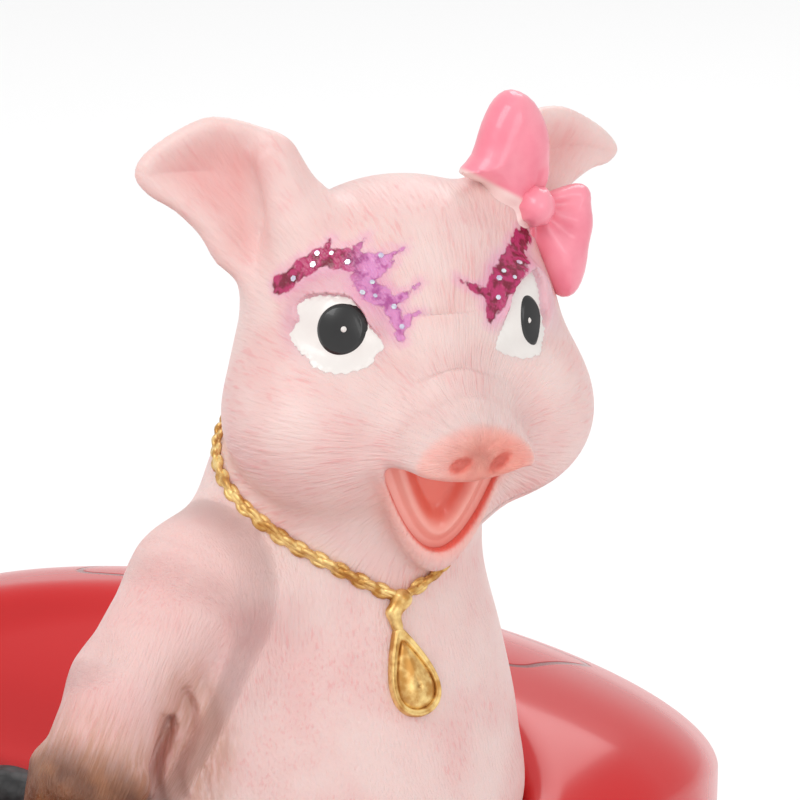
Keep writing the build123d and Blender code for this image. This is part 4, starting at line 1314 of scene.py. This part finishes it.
def tie(tree, *rows):
    """Links in a tree, each row as a node and its output, then a node and its input."""
    for source, output, target, socket in rows:
        tree.links.new(source.outputs[output], target.inputs[socket])


def close_tree(tree, start, end, source, output):
    """Ends a tree in plain geometry that has its material."""
    real, paint = tree.nodes.new("GeometryNodeRealizeInstances"), tree.nodes.new("GeometryNodeSetMaterial")
    tie(
        tree, (source, output, real, "Geometry"), (real, "Geometry", paint, "Geometry"),
        (start, "Material", paint, "Material"), (paint, "Geometry", end, "Geometry"),
    )


def link_turns(tree, start):
    """The node that turns each link along the line, rolled to one side and the other."""
    new = tree.nodes.new
    along, out = new("GeometryNodeInputTangent"), new("GeometryNodeInputNamedAttribute")
    out.data_type = "FLOAT_VECTOR"
    out.inputs["Name"].default_value = "out"
    first, second = new("FunctionNodeAlignRotationToVector"), new("FunctionNodeAlignRotationToVector")
    first.axis, second.axis, second.pivot_axis = "X", "Z", "X"
    index, odd, swing = new("GeometryNodeInputIndex"), new("ShaderNodeMath"), new("ShaderNodeMath")
    odd.operation = "PINGPONG"
    odd.inputs[1].default_value = 1.0
    swing.operation = "MULTIPLY"
    turn, rolled = new("FunctionNodeAxisAngleToRotation"), new("FunctionNodeRotateRotation")
    turn.inputs["Axis"].default_value = (1, 0, 0)
    rolled.rotation_space = "LOCAL"
    tie(
        tree, (along, "Tangent", first, "Vector"), (first, "Rotation", second, "Rotation"),
        (out, "Attribute", second, "Vector"), (index, "Index", odd, 0), (odd, "Value", swing, 0),
        (start, "Roll", swing, 1), (swing, "Value", turn, "Angle"),
        (second, "Rotation", rolled, "Rotation"), (turn, "Rotation", rolled, "Rotate By"),
    )
    return rolled


def link_tree():
    """Rounded links along a line of points, turned this way and that, over a thin strip."""
    tree, start, end = tree_with(
        "chain_links", ("Links", "NodeSocketInt"), ("Link Radius", "NodeSocketFloat"),
        ("Wire Radius", "NodeSocketFloat"), ("Strip Radius", "NodeSocketFloat"),
        ("Roll", "NodeSocketFloat"), ("Material", "NodeSocketMaterial"),
    )
    new = tree.nodes.new
    line, spread = new("GeometryNodeMeshToCurve"), new("GeometryNodeResampleCurve")
    ring, wire, edge = (new("GeometryNodeCurvePrimitiveCircle") for _ in range(3))
    for circle, sides in ((ring, 12), (wire, 6), (edge, 8)):
        circle.inputs["Resolution"].default_value = sides
    link, strip = new("GeometryNodeCurveToMesh"), new("GeometryNodeCurveToMesh")
    longer, rolled = new("GeometryNodeTransform"), link_turns(tree, start)
    longer.inputs["Scale"].default_value = LINK_STRETCH
    place, both = new("GeometryNodeInstanceOnPoints"), new("GeometryNodeJoinGeometry")
    tie(
        tree, (start, "Geometry", line, "Mesh"), (line, "Curve", spread, "Curve"),
        (start, "Links", spread, "Count"), (start, "Link Radius", ring, "Radius"),
        (start, "Wire Radius", wire, "Radius"), (ring, "Curve", link, "Curve"),
        (wire, "Curve", link, "Profile Curve"), (link, "Mesh", longer, "Geometry"),
        (spread, "Curve", place, "Points"), (longer, "Geometry", place, "Instance"),
        (rolled, "Rotation", place, "Rotation"), (start, "Strip Radius", edge, "Radius"),
        (line, "Curve", strip, "Curve"), (edge, "Curve", strip, "Profile Curve"),
        (strip, "Mesh", both, "Geometry"), (place, "Instances", both, "Geometry"),
    )
    close_tree(tree, start, end, both, "Geometry")
    return tree


def flake_tree():
    """Six-sided flakes strewn where the mesh says so."""
    tree, start, end = tree_with(
        "glitter_flakes", ("Density", "NodeSocketFloat"), ("Spacing", "NodeSocketFloat"),
        ("Flake Radius", "NodeSocketFloat"), ("Seed", "NodeSocketInt"), ("Material", "NodeSocketMaterial"),
    )
    new = tree.nodes.new
    strew, where = new("GeometryNodeDistributePointsOnFaces"), new("GeometryNodeInputNamedAttribute")
    strew.distribute_method = "POISSON"
    where.data_type = "FLOAT"
    where.inputs["Name"].default_value = "glitter"
    flake = new("GeometryNodeMeshCylinder")
    flake.inputs["Vertices"].default_value = 6
    flake.inputs["Depth"].default_value = FLAKE_THICKNESS * MM
    size = new("FunctionNodeRandomValue")
    size.data_type = "FLOAT"
    size.inputs[2].default_value, size.inputs[3].default_value = FLAKE_SCALES
    place = new("GeometryNodeInstanceOnPoints")
    tie(
        tree, (start, "Geometry", strew, "Mesh"), (where, "Attribute", strew, "Density Factor"),
        (start, "Density", strew, "Density Max"), (start, "Spacing", strew, "Distance Min"),
        (start, "Seed", strew, "Seed"), (start, "Flake Radius", flake, "Radius"),
        (strew, "Points", place, "Points"), (strew, "Rotation", place, "Rotation"),
        (flake, "Mesh", place, "Instance"), (size, 1, place, "Scale"),
    )
    close_tree(tree, start, end, place, "Instances")
    return tree


def neck_ring(count):
    """Places and outward directions on the skin along the necklace."""
    turns = CHAIN_TURN + np.arange(count) * 2 * pi / count
    ways = np.stack((np.cos(turns), np.sin(turns), np.zeros(count)), -1)
    base = np.stack((np.full(count, NECK[0]), np.full(count, NECK[1]), np.zeros(count)), -1)
    base[:, 2] = chain_level(base + ways)
    reach = np.arange(*NECK_REACH)
    places = base[:, None] + ways[:, None] * reach[None, :, None]
    skin = reach[np.argmax(pig_field(places) > 0, axis=1)]
    neck = reach[np.argmax(torso_field(places) > 0, axis=1)]
    radius = np.minimum(skin, neck + CHAIN_CLING)
    smooth = np.convolve(np.concatenate((radius[-3:], radius, radius[:3])), np.full(7, 1 / 7), "valid")
    places = base + ways * np.minimum(smooth, radius + 0.3)[:, None]
    out = gradient(pig_field, places, 0.4)
    return places, out / np.linalg.norm(out, axis=1, keepdims=True)


def loop_mesh(name, points, ways):
    """A closed line of points with the way out at each."""
    mesh = bpy.data.meshes.new(name)
    edges = [(i, (i + 1) % len(points)) for i in range(len(points))]
    mesh.from_pydata([tuple(point * MM) for point in points], edges, [])
    store(mesh, "out", ways)
    return mesh


def build_necklace():
    look = gold_look()
    places, out = neck_ring(120)
    values = {
        "Links": LINK_COUNT, "Link Radius": LINK_RADIUS * MM, "Wire Radius": WIRE_RADIUS * MM,
        "Strip Radius": STRIP_RADIUS * MM, "Roll": LINK_ROLL, "Material": look,
    }
    line = loop_mesh("necklace_line", places + out * CHAIN_LIFT, out)
    mesh = grow("necklace_chain", line, link_tree(), values)
    add_piece("necklace_chain", mesh, look, "gold_paint", "necklace_chain")
    build_pendant(look, places[0], out[0])


def pendant_outline(turn):
    """A drop's outline, narrow at the top, as (across, up)."""
    return (PENDANT_HALF_WIDTH / 0.74 * np.sin(turn) * (0.64 - 0.36 * np.cos(turn)),
            PENDANT_HALF_LENGTH * np.cos(turn))


def pendant_mesh(name, frame_axes, rows):
    """Rings of a drop: each row gives a share of the outline and a height off the skin."""
    centre, across, up, out = frame_axes
    x, y = pendant_outline(np.arange(PENDANT_SIDES) * 2 * pi / PENDANT_SIDES)
    low = -0.35 * PENDANT_HALF_LENGTH
    rings = []
    for share, height in rows:
        level = low + (y - low) * share
        rings.append(centre + np.outer(x * share, across) + np.outer(level, up) + out * height)
    return ring_mesh(name, rings)


def build_pendant(look, hang, out):
    level = np.array((hang[0], hang[1], PENDANT_LEVEL)) + out * np.array((6, 6, 0))
    way = out * np.array((1, 1, 0)) / np.linalg.norm(out[:2])
    for _ in range(60):
        level = level - way * pig_field(level[None])[0] * 0.7
    normal = gradient(pig_field, level[None], 0.8)[0]
    normal /= np.linalg.norm(normal)
    across = np.cross((0, 0, 1), normal)
    across /= np.linalg.norm(across)
    flat_up = np.cross(normal, across)
    up = flat_up * cos(PENDANT_TILT) - across * sin(PENDANT_TILT)
    across = across * cos(PENDANT_TILT) + flat_up * sin(PENDANT_TILT)
    axes = (level, across, up, normal)
    for name, rows in (("pendant_frame", PENDANT_RIM), ("pendant_drop", PENDANT_DOME)):
        add_piece(name, pendant_mesh(name, axes, rows), look, "gold_paint", name)
    top = level + up * PENDANT_HALF_LENGTH
    knee = top + up * BAIL_KNEE[0] + normal * BAIL_KNEE[1]

    def bail(p):
        foot = bar(p, top + normal * 0.3, knee, *BAIL_RADII[:2])
        return smooth_union(foot, bar(p, knee, hang + out * 0.5, *BAIL_RADII[1:]), 0.4)
    field_piece("pendant_bail", bail, (top - 5, top + 6), 0.14, look, "gold_paint", "pendant_bail")


def build_glitter(head):
    """Silver flakes strewn in the brow paint."""
    source = head.data.copy()
    brow = np.empty(len(source.vertices), np.float32)
    source.attributes["brow"].data.foreach_get("value", brow)
    store(source, "glitter", ramp(brow, 0.05, -0.35))
    look = glitter_look()
    values = {
        "Density": FLAKE_DENSITY, "Spacing": FLAKE_SPACING * MM, "Flake Radius": FLAKE_RADIUS * MM,
        "Seed": FLAKE_SEED, "Material": look,
    }
    mesh = grow("glitter", source, flake_tree(), values)
    add_piece("glitter", mesh, look, "pig_skin")


def build_pig():
    look = skin_look()
    head = skin_piece("pig_head", head_piece_field, HEAD_BOX, SKIN_STEP, look,
                      "pig_head", "pig_ear_right", "pig_ear_left")
    skin_piece("pig_trunk", trunk_piece_field, TRUNK_BOX, TRUNK_STEP, look,
               "pig_torso", "pig_arm_right", "pig_arm_left", "pig_leg_right", "pig_leg_left")
    build_tongue()
    build_eyes()
    build_bow()
    build_necklace()
    build_glitter(head)


# Car pieces

def body_field(p):
    x, y, z = np.abs(p[..., 0]), p[..., 1], p[..., 2]
    rows = curve(y, BODY_STATIONS, BODY_ROWS)
    half, top, line, sill = rows[..., 0], rows[..., 1], rows[..., 2], rows[..., 3]
    above = oval(x, z - line, half, top - line)
    fall = np.clip((line - z) / (line - sill), 0, 1.2)
    below = x - half * (1 - SILL_TUCK * fall ** 2)
    d = np.where(z > line, above, below)
    d = smooth_overlap(d, sill - z, SILL_ROUND)
    return smooth_overlap(d, np.abs(y) - BODY_END, END_ROUND)


def cockpit_field(p):
    x, y, z = np.abs(p[..., 0]), p[..., 1], p[..., 2]
    well = np.maximum(np.maximum(COCKPIT_FRONT - y, y - COCKPIT_BACK), COCKPIT_FLOOR - z)
    well = np.maximum(well, x - COCKPIT_HALF)
    back = np.maximum(y - COCKPIT_BACK, 0) / BULKHEAD_REACH
    plan = (np.sqrt((x / COCKPIT_HALF) ** 2 + back ** 2) - 1) * BULKHEAD_REACH
    floor = (curve(y, BULKHEAD_STATIONS, BULKHEAD_LEVELS)[..., 0] - z) * 0.8
    roll = np.maximum(smooth_overlap(plan, floor, 4.0), COCKPIT_BACK - 2 - y)
    return smooth_union(well, roll, 1.5)


def arch_field(p):
    x, z = np.abs(p[..., 0]), p[..., 2] - WHEEL_LEVEL
    best = np.full(x.shape, FAR)
    for station in WHEEL_STATIONS:
        ring = np.sqrt((p[..., 1] - station) ** 2 + z ** 2) - ARCH_RADIUS
        best = np.minimum(best, ring)
    return np.maximum(best, ARCH_INSIDE - x)


def car_field(p):
    d = smooth_cut(body_field(p), cockpit_field(p), 2.0)
    return smooth_cut(d, arch_field(p), 0.8)


def panel_distance(x, y, centre, half, radius):
    """Distance to a rectangle with round corners, below zero inside it."""
    a, b = np.abs(x - centre[0]) - half[0] + radius, np.abs(y - centre[1]) - half[1] + radius
    return np.hypot(np.maximum(a, 0), np.maximum(b, 0)) + np.minimum(np.maximum(a, b), 0) - radius


def panel_lines(mesh, points):
    """Stores the distance to the shut lines of the boot lid, the bonnet and the doors."""
    x, y, z = points.T
    top = z > PANEL_LEVEL
    side = np.abs(x) > COCKPIT_HALF - 1
    store(mesh, "boot", np.where(top, panel_distance(x, y, *BOOT_LID), FAR))
    store(mesh, "bonnet", np.where(top, panel_distance(x, y, *BONNET), FAR))
    store(mesh, "door", np.where(side, panel_distance(y, z, *DOOR), FAR))


def build_car():
    red = red_look()
    ends = (
        ("car_body_front", -BODY_END - 2, BODY_JOIN + BODY_STEP),
        ("car_body_rear", BODY_JOIN - BODY_STEP, BODY_END + 2),
    )
    for name, low, high in ends:
        def half(p, low=low, high=high):
            return np.maximum(car_field(p), np.maximum(low - p[..., 1], p[..., 1] - high))
        mesh, points = mesh_field(name, half, ((-50, low - 2, 6), (50, high + 2, 50)), BODY_STEP)
        panel_lines(mesh, points)
        add_piece(name, mesh, red, "car_red", "car_body")


def bumper_line(end, half_width):
    """Places just off the body round one end of the car."""
    x = np.linspace(-half_width, half_width, BUMPER_PLACES)
    reach = np.linspace(BODY_END + 4, BODY_END - 24, 281)
    places = np.stack(np.broadcast_arrays(x[:, None], end * reach, BUMPER_LEVEL), -1)
    found = np.argmax(body_field(places) < BUMPER_OFF, axis=1)
    return places[np.arange(len(x)), found]


def build_bumpers(silver):
    squash = np.array((1, 1, BUMPER_DEPTH / BUMPER_HALF_HEIGHT))
    for name, end, half_width in BUMPERS:
        line = bumper_line(end, half_width)

        def field(p, line=line * squash):
            d = np.full(p.shape[:-1], FAR)
            for start, stop in zip(line[::2], line[2::2]):
                d = np.minimum(d, bar(p * squash, start, stop, BUMPER_DEPTH, BUMPER_DEPTH))
            return d
        box = (line.min(0) - 4, line.max(0) + 4)
        field_piece(name, field, box, 0.4, silver, "trim_silver", name)


def front_surface(x, z):
    """How far forward the body reaches at places across its front."""
    y = np.linspace(-BODY_END - 3, -BODY_END + 24, 271)
    places = np.stack(np.broadcast_arrays(np.asarray(x)[:, None], y, np.asarray(z)[:, None]), -1)
    return y[np.argmax(body_field(places) < 0, axis=1)]


def lamp_centre():
    """The middle of the left headlamp's rim, at the mean depth of the body round it."""
    turns = np.arange(12) * pi / 6
    x, z = LAMP_PLACE[0] + LAMP_RADIUS * np.cos(turns), LAMP_PLACE[1] + LAMP_RADIUS * np.sin(turns)
    return np.array((LAMP_PLACE[0], np.mean(front_surface(x, z)), LAMP_PLACE[1]))


LAMP_CENTRE = lamp_centre()


def lamp_places(p):
    """Radius and distance along the nearer headlamp's axis."""
    axis = np.array(LAMP_WAY) / np.linalg.norm(LAMP_WAY)
    gap = folded(p) - LAMP_CENTRE
    along = gap @ axis
    return np.linalg.norm(gap - along[..., None] * axis, axis=-1), along


def lamp_rim_field(p):
    radius, along = lamp_places(p)
    ring = smooth_overlap(np.abs(radius - LAMP_RADIUS + LAMP_RIM) - LAMP_RIM, along - LAMP_RISE, 0.9)
    return np.maximum(ring, -LAMP_DEPTH - along)


def lens_field(p):
    radius, along = lamp_places(p)
    dome = np.hypot(radius, along + LENS_BACK) - LENS_ROUND
    return np.maximum(np.maximum(dome, radius - LAMP_RADIUS + LAMP_RIM), -LAMP_DEPTH - along)


def build_lamps(silver, lens):
    field_piece("headlamp_rims", lamp_rim_field, LAMP_BOX, 0.3, silver, "trim_silver", "headlamp_rims")
    field_piece("headlamp_lenses", lens_field, LAMP_BOX, 0.3, lens, "lamp_clear", "headlamp_lenses")


def grille_places(p):
    """Distance to the grille's outline, and off the body's front."""
    edge = panel_distance(p[..., 0], p[..., 2], (0, GRILLE_LEVEL), GRILLE_HALF, GRILLE_CORNER)
    return edge, body_field(p)


def grille_field(p):
    """A rounded frame with upright bars, laid over the body's front."""
    edge, off = grille_places(p)
    ring = np.abs(edge + GRILLE_RIM) - GRILLE_RIM
    place = (p[..., 0] + GRILLE_PITCH / 2) % GRILLE_PITCH - GRILLE_PITCH / 2
    bars = np.maximum(np.abs(place) - GRILLE_BAR, edge)
    d = smooth_overlap(np.minimum(ring, bars), off - GRILLE_RISE, 0.6)
    return np.maximum(np.maximum(d, -1.0 - off), p[..., 1] - GRILLE_BEHIND)


def grille_back_field(p):
    """A dark plate behind the bars."""
    edge, off = grille_places(p)
    d = np.maximum(np.maximum(edge + 0.5, off - 0.25), -1.0 - off)
    return np.maximum(d, p[..., 1] - GRILLE_BEHIND)


def build_grille(silver, dark):
    field_piece("grille", grille_field, GRILLE_BOX, 0.25, silver, "trim_silver", "grille")
    field_piece("grille_back", grille_back_field, GRILLE_BOX, 0.25, dark, "trim_black")


def handle_field(p):
    """A round pull on two posts at each door."""
    spot = folded(p)
    back, front = np.array(HANDLE_ENDS)
    d = bar(spot, back, front, HANDLE_RADIUS, HANDLE_RADIUS)
    for end, way in ((back, 1), (front, -1)):
        post = end + np.array((0, way * HANDLE_POST[0], 0))
        foot = post - np.array((HANDLE_POST[1], 0, 0))
        d = smooth_union(d, bar(spot, post, foot, HANDLE_RADIUS, HANDLE_RADIUS), 0.5)
    return d


def build_handles(silver):
    field_piece("door_handles", handle_field, HANDLE_BOX, 0.3, silver, "trim_silver", "door_handles")


def wheel_rings(profile, side, station):
    """Rings of a profile of (radius, outward place) turned round an axle, flat where it stands."""
    turns = np.arange(WHEEL_SIDES) * 2 * pi / WHEEL_SIDES
    rings = []
    for radius, place in profile:
        y, z = station + radius * np.cos(turns), WHEEL_LEVEL + radius * np.sin(turns)
        rings.append(np.stack((np.full(WHEEL_SIDES, side * place), y, np.maximum(z, 0)), -1))
    return rings


def tyre_profile():
    """Rows round a tyre, with grooves in its tread."""
    (tread, floor), (edge, foot) = TREAD_RADII, TREAD_HALVES
    rows = list(TYRE_HALF)
    for groove in TREAD_GROOVES:
        rows += [(tread, groove + edge), (floor, groove + foot)]
        rows += [(floor, groove - foot), (tread, groove - edge)]
    rows += [(radius, -place) for radius, place in reversed(TYRE_HALF)]
    return [(radius, WHEEL_MIDDLE + place) for radius, place in rows]


def build_wheels(tyre, silver):
    kinds = (
        ("tyre_", tyre_profile(), tyre, "tyre_black"),
        ("wheel_disc_", DISC_PROFILE, silver, "trim_silver"),
    )
    rows, hands = zip(("front_", "rear_"), WHEEL_STATIONS), (("left", 1), ("right", -1))
    for (row, station), (hand, side), (kind, profile, look, slot) in product(rows, hands, kinds):
        name = kind + row + hand
        add_piece(name, ring_mesh(name, wheel_rings(profile, side, station)), look, slot, name)


def soft_box(p, low, high, radius):
    low, high = np.asarray(low, float), np.asarray(high, float)
    q = np.abs(p - (low + high) / 2) - (high - low) / 2 + radius
    return np.linalg.norm(np.maximum(q, 0), axis=-1) + np.minimum(q.max(-1), 0) - radius


def seat_field(p):
    """A padded cushion and back with pleats across."""
    spot = folded(p)
    x = spot[..., 0]
    pleat = SEAT_PLEAT * np.abs(np.sin((x - SEAT_CUSHION[0][0]) * pi / SEAT_PLEAT_PITCH))
    cushion = soft_box(spot, *SEAT_CUSHION, SEAT_ROUND)
    back = soft_box(spot, *SEAT_BACK, SEAT_ROUND)
    return smooth_union(cushion, back, 1.2) - pleat + SEAT_PLEAT


def build_seats(seat):
    for name, low, high in (("passenger_seat", -42, -0.1), ("driver_seat", 0.1, 42)):
        field_piece(name, seat_field, ((low, 6, 10), (high, 41, 37)), 0.5, seat, "seat_black", name)


def screen_places(p):
    """Across, along and off the windscreen's sheet."""
    y, z = p[..., 1] - SCREEN_FOOT[0], p[..., 2] - SCREEN_FOOT[1]
    along = y * sin(SCREEN_RAKE) + z * cos(SCREEN_RAKE)
    return p[..., 0], along, y * cos(SCREEN_RAKE) - z * sin(SCREEN_RAKE)


def screen_field(p, inset, half_thickness):
    across, along, off = screen_places(p)
    taper = across * (1 + SCREEN_TAPER * along)
    middle, half_height = SCREEN_HEIGHT / 2 - SCREEN_SUNK, SCREEN_HEIGHT / 2 + SCREEN_SUNK
    edge = panel_distance(taper, along, (0, middle), (SCREEN_HALF, half_height), SCREEN_CORNER) + inset
    if inset == 0:
        edge = np.abs(edge + SCREEN_RIM) - SCREEN_RIM
    return smooth_overlap(edge, np.abs(off) - half_thickness, 0.5)


def build_windscreen(silver, pane):
    sheets = (
        ("windscreen_frame", 0, 1.0, silver, "trim_silver"),
        ("windscreen_pane", SCREEN_RIM, 0.4, pane, "clear_pane"),
    )
    for name, inset, thickness, look, slot in sheets:
        def field(p, inset=inset, thickness=thickness):
            return screen_field(p, inset, thickness)
        field_piece(name, field, SCREEN_BOX, 0.35, look, slot, name)


# Stage and camera

def aim(place, target):
    return (Vector(target) - Vector(place)).to_track_quat("-Z", "Y").to_euler()


def add_camera():
    camera = add_object("camera", bpy.data.cameras.new("camera"))
    camera.data.lens = CAMERA_LENS
    camera.data.sensor_width = SENSOR_WIDTH
    camera.data.clip_end = 20
    camera.location = Vector(CAMERA_PLACE) * MM
    camera.rotation_euler = aim(CAMERA_PLACE, CAMERA_TARGET)
    bpy.context.scene.camera = camera


def add_floor():
    reach = FLOOR_REACH
    corners = ((-reach, -reach, 0), (reach, -reach, 0), (reach, reach, 0), (-reach, reach, 0))
    floor = add_object("floor", plain_mesh("floor", corners, ((0, 1, 2, 3),)))
    look = Look("floor_white", rough=0.9)
    look.set("Base Color", look.mix(look.noise(3.0), (0.93, 0.93, 0.93, 1), (0.9, 0.9, 0.9, 1)))
    dress(floor.data, look.material)


def add_light(name, place, size, power):
    data = bpy.data.lights.new(name, "AREA")
    data.size = size * MM
    data.energy = power
    light = add_object(name, data)
    light.location = Vector(place) * MM
    light.rotation_euler = aim(place, LIGHT_TARGET)


def add_sky():
    world = bpy.data.worlds.new("studio")
    world.use_nodes = True
    sky = world.node_tree.nodes["Background"]
    sky.inputs["Color"].default_value = (1, 1, 1, 1)
    sky.inputs["Strength"].default_value = SKY_STRENGTH
    bpy.context.scene.world = world


def build_stage():
    add_camera()
    add_floor()
    for light in LIGHTS:
        add_light(*light)
    add_sky()
    bpy.context.scene.view_settings.view_transform = "Standard"


def build_fittings():
    """Trim, lamps, wheels and seats, and materials on the CAD nodes that are shown as they are."""
    silver = silver_look()
    seat = black_look("seat_black", 0.55, 0.12, 900.0)
    trim = black_look("trim_black", 0.4, 0.05, 1200.0)
    tyre = black_look("tyre_black", 0.7, 0.08, 700.0)
    steel = steel_look()
    pane = glass_look("clear_pane", tint(246, 250, 250), tint(232, 240, 240), 0.04, 0.95)
    lamp = glass_look("lamp_clear", tint(245, 245, 240), tint(226, 228, 226), 0.12, 0.5)
    tail = glass_look("lamp_red", tint(190, 14, 16), tint(150, 8, 10), 0.1, 0.3)
    build_windscreen(silver, pane)
    build_bumpers(silver)
    build_lamps(silver, lamp)
    build_grille(silver, trim)
    build_handles(silver)
    build_wheels(tyre, silver)
    build_seats(seat)
    looks = {
        "tail_lamps": tail, "underpan": trim, "dashboard": seat, "steering_column": trim,
        "steering_wheel": trim, "front_axle": steel, "rear_axle": steel,
    }
    for name, look in looks.items():
        dress(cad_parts[name].data, look)


build_stage()
build_fittings()
build_pig()
build_car()
